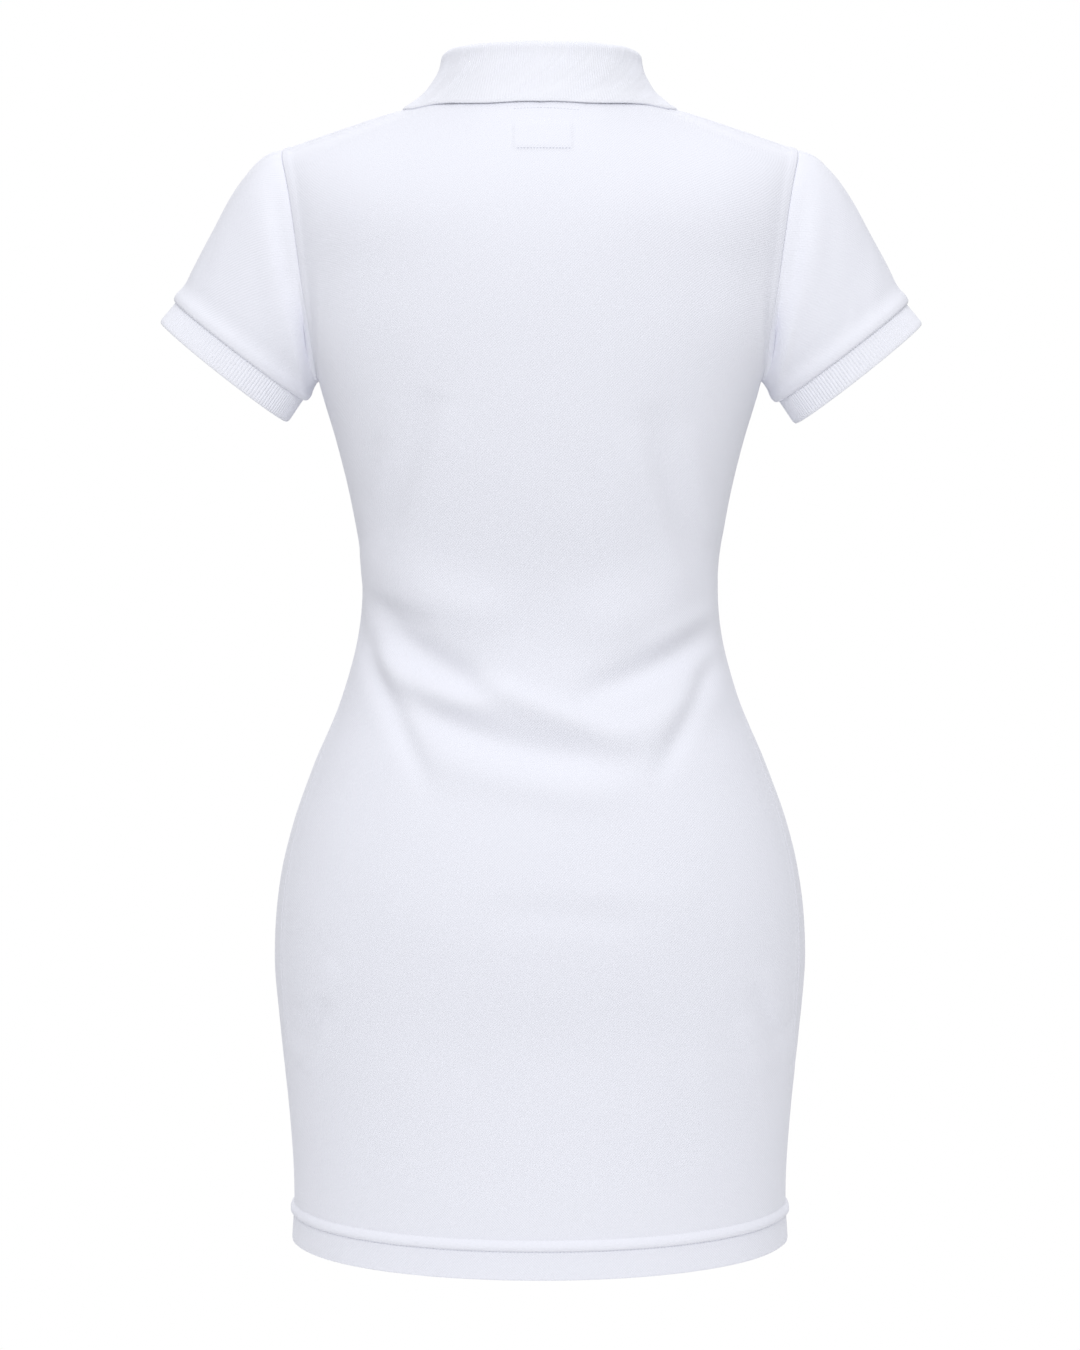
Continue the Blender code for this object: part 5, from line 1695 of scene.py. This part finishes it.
@dataclass(frozen=True)
class Stitches:
    """Rows of small stitches, each a low rounded grain that lies half in the cloth."""

    length: float = 1.5
    radius: float = 0.22
    sides: int = 6

    def build(self, name: str, middles: Array, directions: Array, facings: Array) -> bpy.types.Object:
        """Makes all the stitches of a row as one mesh.

        Args:
            name: the object's name.
            middles: the middle of each stitch.
            directions: the way that each runs.
            facings: which way the cloth faces there.

        Returns:
            The object: rings of a capsule round each stitch, with a point at each end.
        """
        along = unit(directions)
        aside = unit(np.cross(facings, along))
        above = np.cross(along, aside)
        places = np.array([-0.42, -0.22, 0.22, 0.42]) * self.length
        sizes = np.array([0.75, 1.0, 1.0, 0.75]) * self.radius
        turn = 2 * math.pi * np.arange(self.sides) / self.sides
        rings = middles[:, None, None] + along[:, None, None] * places[None, :, None, None]
        rings = rings + aside[:, None, None] * (sizes[:, None] * np.cos(turn))[None, ..., None]
        rings = rings + above[:, None, None] * (sizes[:, None] * np.sin(turn))[None, ..., None]
        count = len(middles)
        tips = middles[:, None] + along[:, None] * np.array([-0.5, 0.5])[None, :, None] * self.length
        parts = MeshParts()
        parts.add_points(rings, rings[..., :2] * 0)
        tip_start = parts.add_points(tips, tips[..., :2] * 0)
        stitch = np.arange(count)[:, None, None] * 4 * self.sides
        ring = np.arange(3)[None, :, None] * self.sides
        side = np.arange(self.sides)[None, None, :]
        beside = (side + 1) % self.sides
        a = stitch + ring + side
        b = stitch + ring + beside
        parts.add_faces(np.stack([a, b, b + self.sides, a + self.sides], axis=-1).reshape(-1, 4))
        side = side[0]
        beside = beside[0]
        first = np.arange(count)[:, None] * 4 * self.sides
        start_tip = tip_start + 2 * np.arange(count)[:, None] + 0 * side
        parts.add_faces(np.stack([first + beside, first + side, start_tip], axis=-1).reshape(-1, 3))
        last = first + 3 * self.sides
        parts.add_faces(np.stack([last + side, last + beside, start_tip + 1], axis=-1).reshape(-1, 3))
        return parts.build(name)


def spaced(line: Array, pitch: float, start: float = 0.5) -> tuple[Array, Array]:
    """Places evenly spaced along a line of points, and the direction at each.

    Args:
        line: points in order.
        pitch: the distance between places.
        start: where the first lies, as a share of the pitch.

    Returns:
        The places and unit directions.
    """
    run = run_along(line[:, None], 0)[:, 0]
    at = np.arange(start * pitch, run[-1], pitch)
    places = np.stack([np.interp(at, run, line[:, axis]) for axis in range(3)], axis=-1)
    ahead = np.stack([np.interp(at + 0.5, run, line[:, axis]) for axis in range(3)], axis=-1)
    behind = np.stack([np.interp(at - 0.5, run, line[:, axis]) for axis in range(3)], axis=-1)
    return places, unit(ahead - behind)


# ---------------------------------------------------------------- the dress


@dataclass(frozen=True)
class NeckLabel:
    """A plain tape, sewn flat inside the back below the neckline."""

    half_width: float = 19.5
    top_z: float = -20.5
    height: float = 17.5
    gap: float = 0.55
    thick: float = 0.7

    def build(self, name: str, back: PanelCloth) -> bpy.types.Object:
        """Makes the tape, which follows the inside of the back."""
        x = back.label_x + np.linspace(self.half_width, -self.half_width, 41)
        z = self.top_z - self.height * np.linspace(0, 1, 21)
        x, z = np.meshgrid(x, z)
        place, facing = back.on_surface(x.ravel(), z.ravel())
        place = place.reshape(x.shape + (3,))
        facing = facing.reshape(x.shape + (3,))
        near = back.cloth + self.gap
        outer = place - facing * near
        inner = place - facing * (near + self.thick)
        return Wall(outer, inner, np.stack([x, z], axis=-1), row_step=1, column_step=1).build(name)


@dataclass(frozen=True)
class Dress:
    """All the pieces of the dress, made in order."""

    button_heights: tuple[float, ...] = (-84.0, -128.0, -172.0)
    button_lift: float = 2.0
    placket_pitch: float = 2.3
    label_stitch_z: float = -37.2
    collar_stitch_z: float = -10.0
    hem_pitch: float = 2.4

    def keep(
        self,
        obj: bpy.types.Object,
        finish: Finish,
        replaces: Sequence[str] = (),
    ) -> None:
        """Gives a piece its material and tells the frame what it is.

        Args:
            obj: the piece.
            finish: its material.
            replaces: solids that it stands for.
        """
        obj.data.materials.append(finish.material())
        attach(obj, "root")
        if replaces:
            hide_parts(*replaces)
        LOG.info("%s: %d points, %d faces", obj.name, len(obj.data.vertices), len(obj.data.polygons))

    def build(self) -> None:
        """Makes every piece."""
        back = PanelCloth(Side.BACK)
        front = PanelCloth(Side.FRONT)
        share_side_seams(back, front)
        back.shape()
        front.shape()
        share_side_seams(back, front)
        self.keep(back.wall().build("back_cloth"), PIQUE, ["back_panel"])
        self.keep(front.wall().build("front_cloth"), PIQUE, ["front_panel"])
        for word, side in (("left", 1), ("right", -1)):
            sleeve = SleeveCloth(back, front, side).build(f"sleeve_{word}_cloth")
            self.keep(sleeve, SLEEVE_PIQUE, [f"sleeve_{word}"])
            cuff = Cuff(side).build(f"cuff_{word}_knit")
            self.keep(cuff, RIB, [f"cuff_{word}"])
        collar = Collar((back, front))
        self.keep(collar.build("collar_knit"), RIB, ["collar"])
        self.placket(front)
        label = NeckLabel().build("neck_label_tape", back)
        self.keep(label, TAPE, ["neck_label"])
        self.sewing(back, front)

    def placket(self, front: PanelCloth) -> None:
        """The two strips of the placket, and the buttons with their thread."""
        heights = self.button_heights
        over = PlacketStrip(front, half_width=18.5, bottom_z=-203.0, lift=0.1, thick=1.6, buttons=heights)
        self.keep(over.build("placket_over_cloth"), PIQUE, ["placket_over"])
        under = PlacketStrip(front, half_width=14.0, bottom_z=-189.5, lift=-1.6, thick=1.3)
        self.keep(under.build("placket_under_cloth"), PIQUE, ["placket_under"])
        for number, z in enumerate(heights, start=1):
            button = Button(z, self.button_lift, front)
            self.keep(button.build(f"button_{number}_resin"), RESIN, [f"button_{number}"])
            thread = Stitches(length=4.6, radius=0.19)
            self.keep(thread.build(f"button_{number}_thread", *button.thread()), THREAD_WITH_PAINTED_SHADE)
        from_left = run_along(over.grid, 1)
        lines = []
        for away in (from_left, from_left[:, -1:] - from_left):
            index = np.argmin(np.abs(away - over.stitch_in), axis=1)
            lines.append(over.grid[np.arange(len(index)), index][:-6])
        lines += [over.grid[row, 8:-8] for row in (-12, -16)]
        spots = [spaced(line, self.placket_pitch) for line in lines]
        places = np.concatenate([place for place, _ in spots])
        directions = np.concatenate([direction for _, direction in spots])
        facings = np.repeat(-BACKWARDS[None], len(places), axis=0)
        seam = Stitches(length=1.7, radius=0.2).build("placket_stitches", places, directions, facings)
        self.keep(seam, THREAD_WITH_PAINTED_SHADE)

    def sewing(self, back: PanelCloth, front: PanelCloth) -> None:
        """Stitch rows at the label, under the collar and along the hem's ridge."""
        label_x = np.arange(-19.6, 15.8, 2.1) + 0.3
        label_z = np.full_like(label_x, self.label_stitch_z)
        collar_x = np.arange(-25.0, 18.0, 2.2)
        collar_z = self.collar_stitch_z - 0.002 * collar_x**2
        x = np.concatenate([label_x, collar_x])
        z = np.concatenate([label_z, collar_z])
        place, facing = back.on_surface(x, z)
        ahead, _ = back.on_surface(x + 0.5, z)
        fine = Stitches(length=1.35, radius=0.2)
        self.keep(fine.build("back_stitches", place + facing * 0.04, ahead - place, facing), THREAD_WITH_PAINTED_SHADE)
        hem = Stitches(length=1.2, radius=0.2)
        for panel, word in ((back, "back"), (front, "front")):
            ridge = BODY.hem_z + panel.ridge_above - panel.ridge_width / 2 - 0.5
            row = int(np.argmin(np.abs(panel.outer[:, panel.outer.shape[1] // 2, 2] - ridge)))
            line, faces = panel.outer[row, 4:-4], panel.facing[row, 4:-4]
            at, way = spaced(line, self.hem_pitch)
            run = run_along(line[:, None], 0)[:, 0]
            reach = np.arange(self.hem_pitch / 2, run[-1], self.hem_pitch)
            facing = np.stack([np.interp(reach, run, faces[:, axis]) for axis in range(3)], axis=-1)
            slanting = unit(way + 0.6 * UP)
            stitches = hem.build(f"hem_stitches_{word}", at + facing * 0.05, slanting, facing)
            self.keep(stitches, THREAD_WITH_PAINTED_SHADE)


# ---------------------------------------------------------------- studio


@dataclass(frozen=True)
class Studio:
    """A white room with large soft lights before and behind the dress."""

    camera_y: float = 2.1
    camera_z: float = -0.1688
    pitch: float = 6.096
    focal: float = 81.15
    sensor: float = 36.0
    floor_z: float = -1.45
    fill: float = 1.145
    side_share: float = 0.85  # how bright the room is towards the sides
    low_share: float = 0.14  # and towards the floor
    side_power: float = 1.5
    fill_colour: tuple[float, ...] = (0.98, 0.985, 1.0, 1.0)  # linear, slightly cool
    softbox_away: float = 2.4
    softbox_z: float = 0.95
    softbox_aim_z: float = -0.32
    softbox_size: tuple[float, float] = (1.8, 1.2)
    softbox_watts: float = 29.0
    floor_half: float = 1150.0  # in millimetres

    def build(self) -> None:
        """Sets up the floor, the world, the lights and the camera."""
        self.world()
        self.floor()
        for word, side in (("back", 1), ("front", -1)):
            self.softbox(f"softbox_{word}", side)
        self.camera()
        settings = bpy.context.scene.view_settings
        settings.view_transform = "Standard"
        settings.look = "None"

    def world(self) -> None:
        """Soft light, weaker from the sides and from below, in front of pure white."""
        world = bpy.data.worlds.new("white_room")
        bpy.context.scene.world = world
        world.use_nodes = True
        tree = world.node_tree
        tree.nodes.clear()
        seen = add_node(tree, "ShaderNodeBackground", Strength=1.0)
        seen.inputs["Color"].default_value = (1, 1, 1, 1)
        light = add_node(tree, "ShaderNodeBackground")
        light.inputs["Color"].default_value = self.fill_colour
        place = tree.nodes.new("ShaderNodeTexCoord")
        parts = tree.nodes.new("ShaderNodeSeparateXYZ")
        tree.links.new(place.outputs["Generated"], parts.inputs[0])
        towards = maths(tree, "POWER", maths(tree, "ABSOLUTE", parts.outputs[1]), self.side_power)
        towards = maths(tree, "MULTIPLY_ADD", towards, 1 - self.side_share, self.side_share)
        height = maths(tree, "MULTIPLY_ADD", parts.outputs[2], 0.5, 0.5)
        height = maths(tree, "MULTIPLY_ADD", height, 1 - self.low_share, self.low_share)
        strength = maths(tree, "MULTIPLY", maths(tree, "MULTIPLY", towards, height), self.fill)
        tree.links.new(strength, light.inputs["Strength"])
        mix = tree.nodes.new("ShaderNodeMixShader")
        ray = tree.nodes.new("ShaderNodeLightPath")
        out = tree.nodes.new("ShaderNodeOutputWorld")
        tree.links.new(ray.outputs["Is Camera Ray"], mix.inputs[0])
        tree.links.new(light.outputs[0], mix.inputs[1])
        tree.links.new(seen.outputs[0], mix.inputs[2])
        tree.links.new(mix.outputs[0], out.inputs[0])

    def floor(self) -> None:
        """A plain pale floor, well below the hem, as if the wearer stood on it."""
        size = self.floor_half
        corners = np.array([[-size, -size, 0], [size, -size, 0], [size, size, 0], [-size, size, 0]])
        corners[:, 2] = self.floor_z / MM
        parts = MeshParts()
        parts.add_points(corners, corners[:, :2])
        parts.add_faces(np.array([[0, 1, 2, 3]]))
        obj = parts.build("studio_floor")
        paper = Finish("studio_paper", "#F8F8F8", 0.95).material()
        obj.data.materials.append(paper)

    def softbox(self, name: str, side: int) -> None:
        """A rectangular light behind the dress (side 1) or before it (-1), turned to it."""
        light = bpy.data.lights.new(name, "AREA")
        light.shape = "RECTANGLE"
        light.size, light.size_y = self.softbox_size
        light.energy = self.softbox_watts
        obj = bpy.data.objects.new(name, light)
        place = np.array([0, self.softbox_away * side, self.softbox_z])
        away = place - np.array([0, 0, self.softbox_aim_z])
        obj.location = place
        flat = math.hypot(away[0], away[1])
        obj.rotation_euler = (math.atan2(flat, away[2]), 0, math.atan2(away[0], -away[1]))
        bpy.context.scene.collection.objects.link(obj)

    def camera(self) -> None:
        """The camera, level with the shoulder blades, looking slightly down."""
        data = bpy.data.cameras.new("camera")
        data.lens = self.focal
        data.sensor_width = self.sensor
        data.sensor_fit = "AUTO"
        data.clip_end = 100
        camera = bpy.data.objects.new("camera", data)
        camera.location = (0, self.camera_y, self.camera_z)
        camera.rotation_euler = (math.radians(90 - self.pitch), 0, math.radians(180))
        bpy.context.scene.collection.objects.link(camera)
        bpy.context.scene.camera = camera


def main() -> None:
    """Makes the dress and its studio."""
    Dress().build()
    Studio().build()


if __name__ == "__main__":
    main()
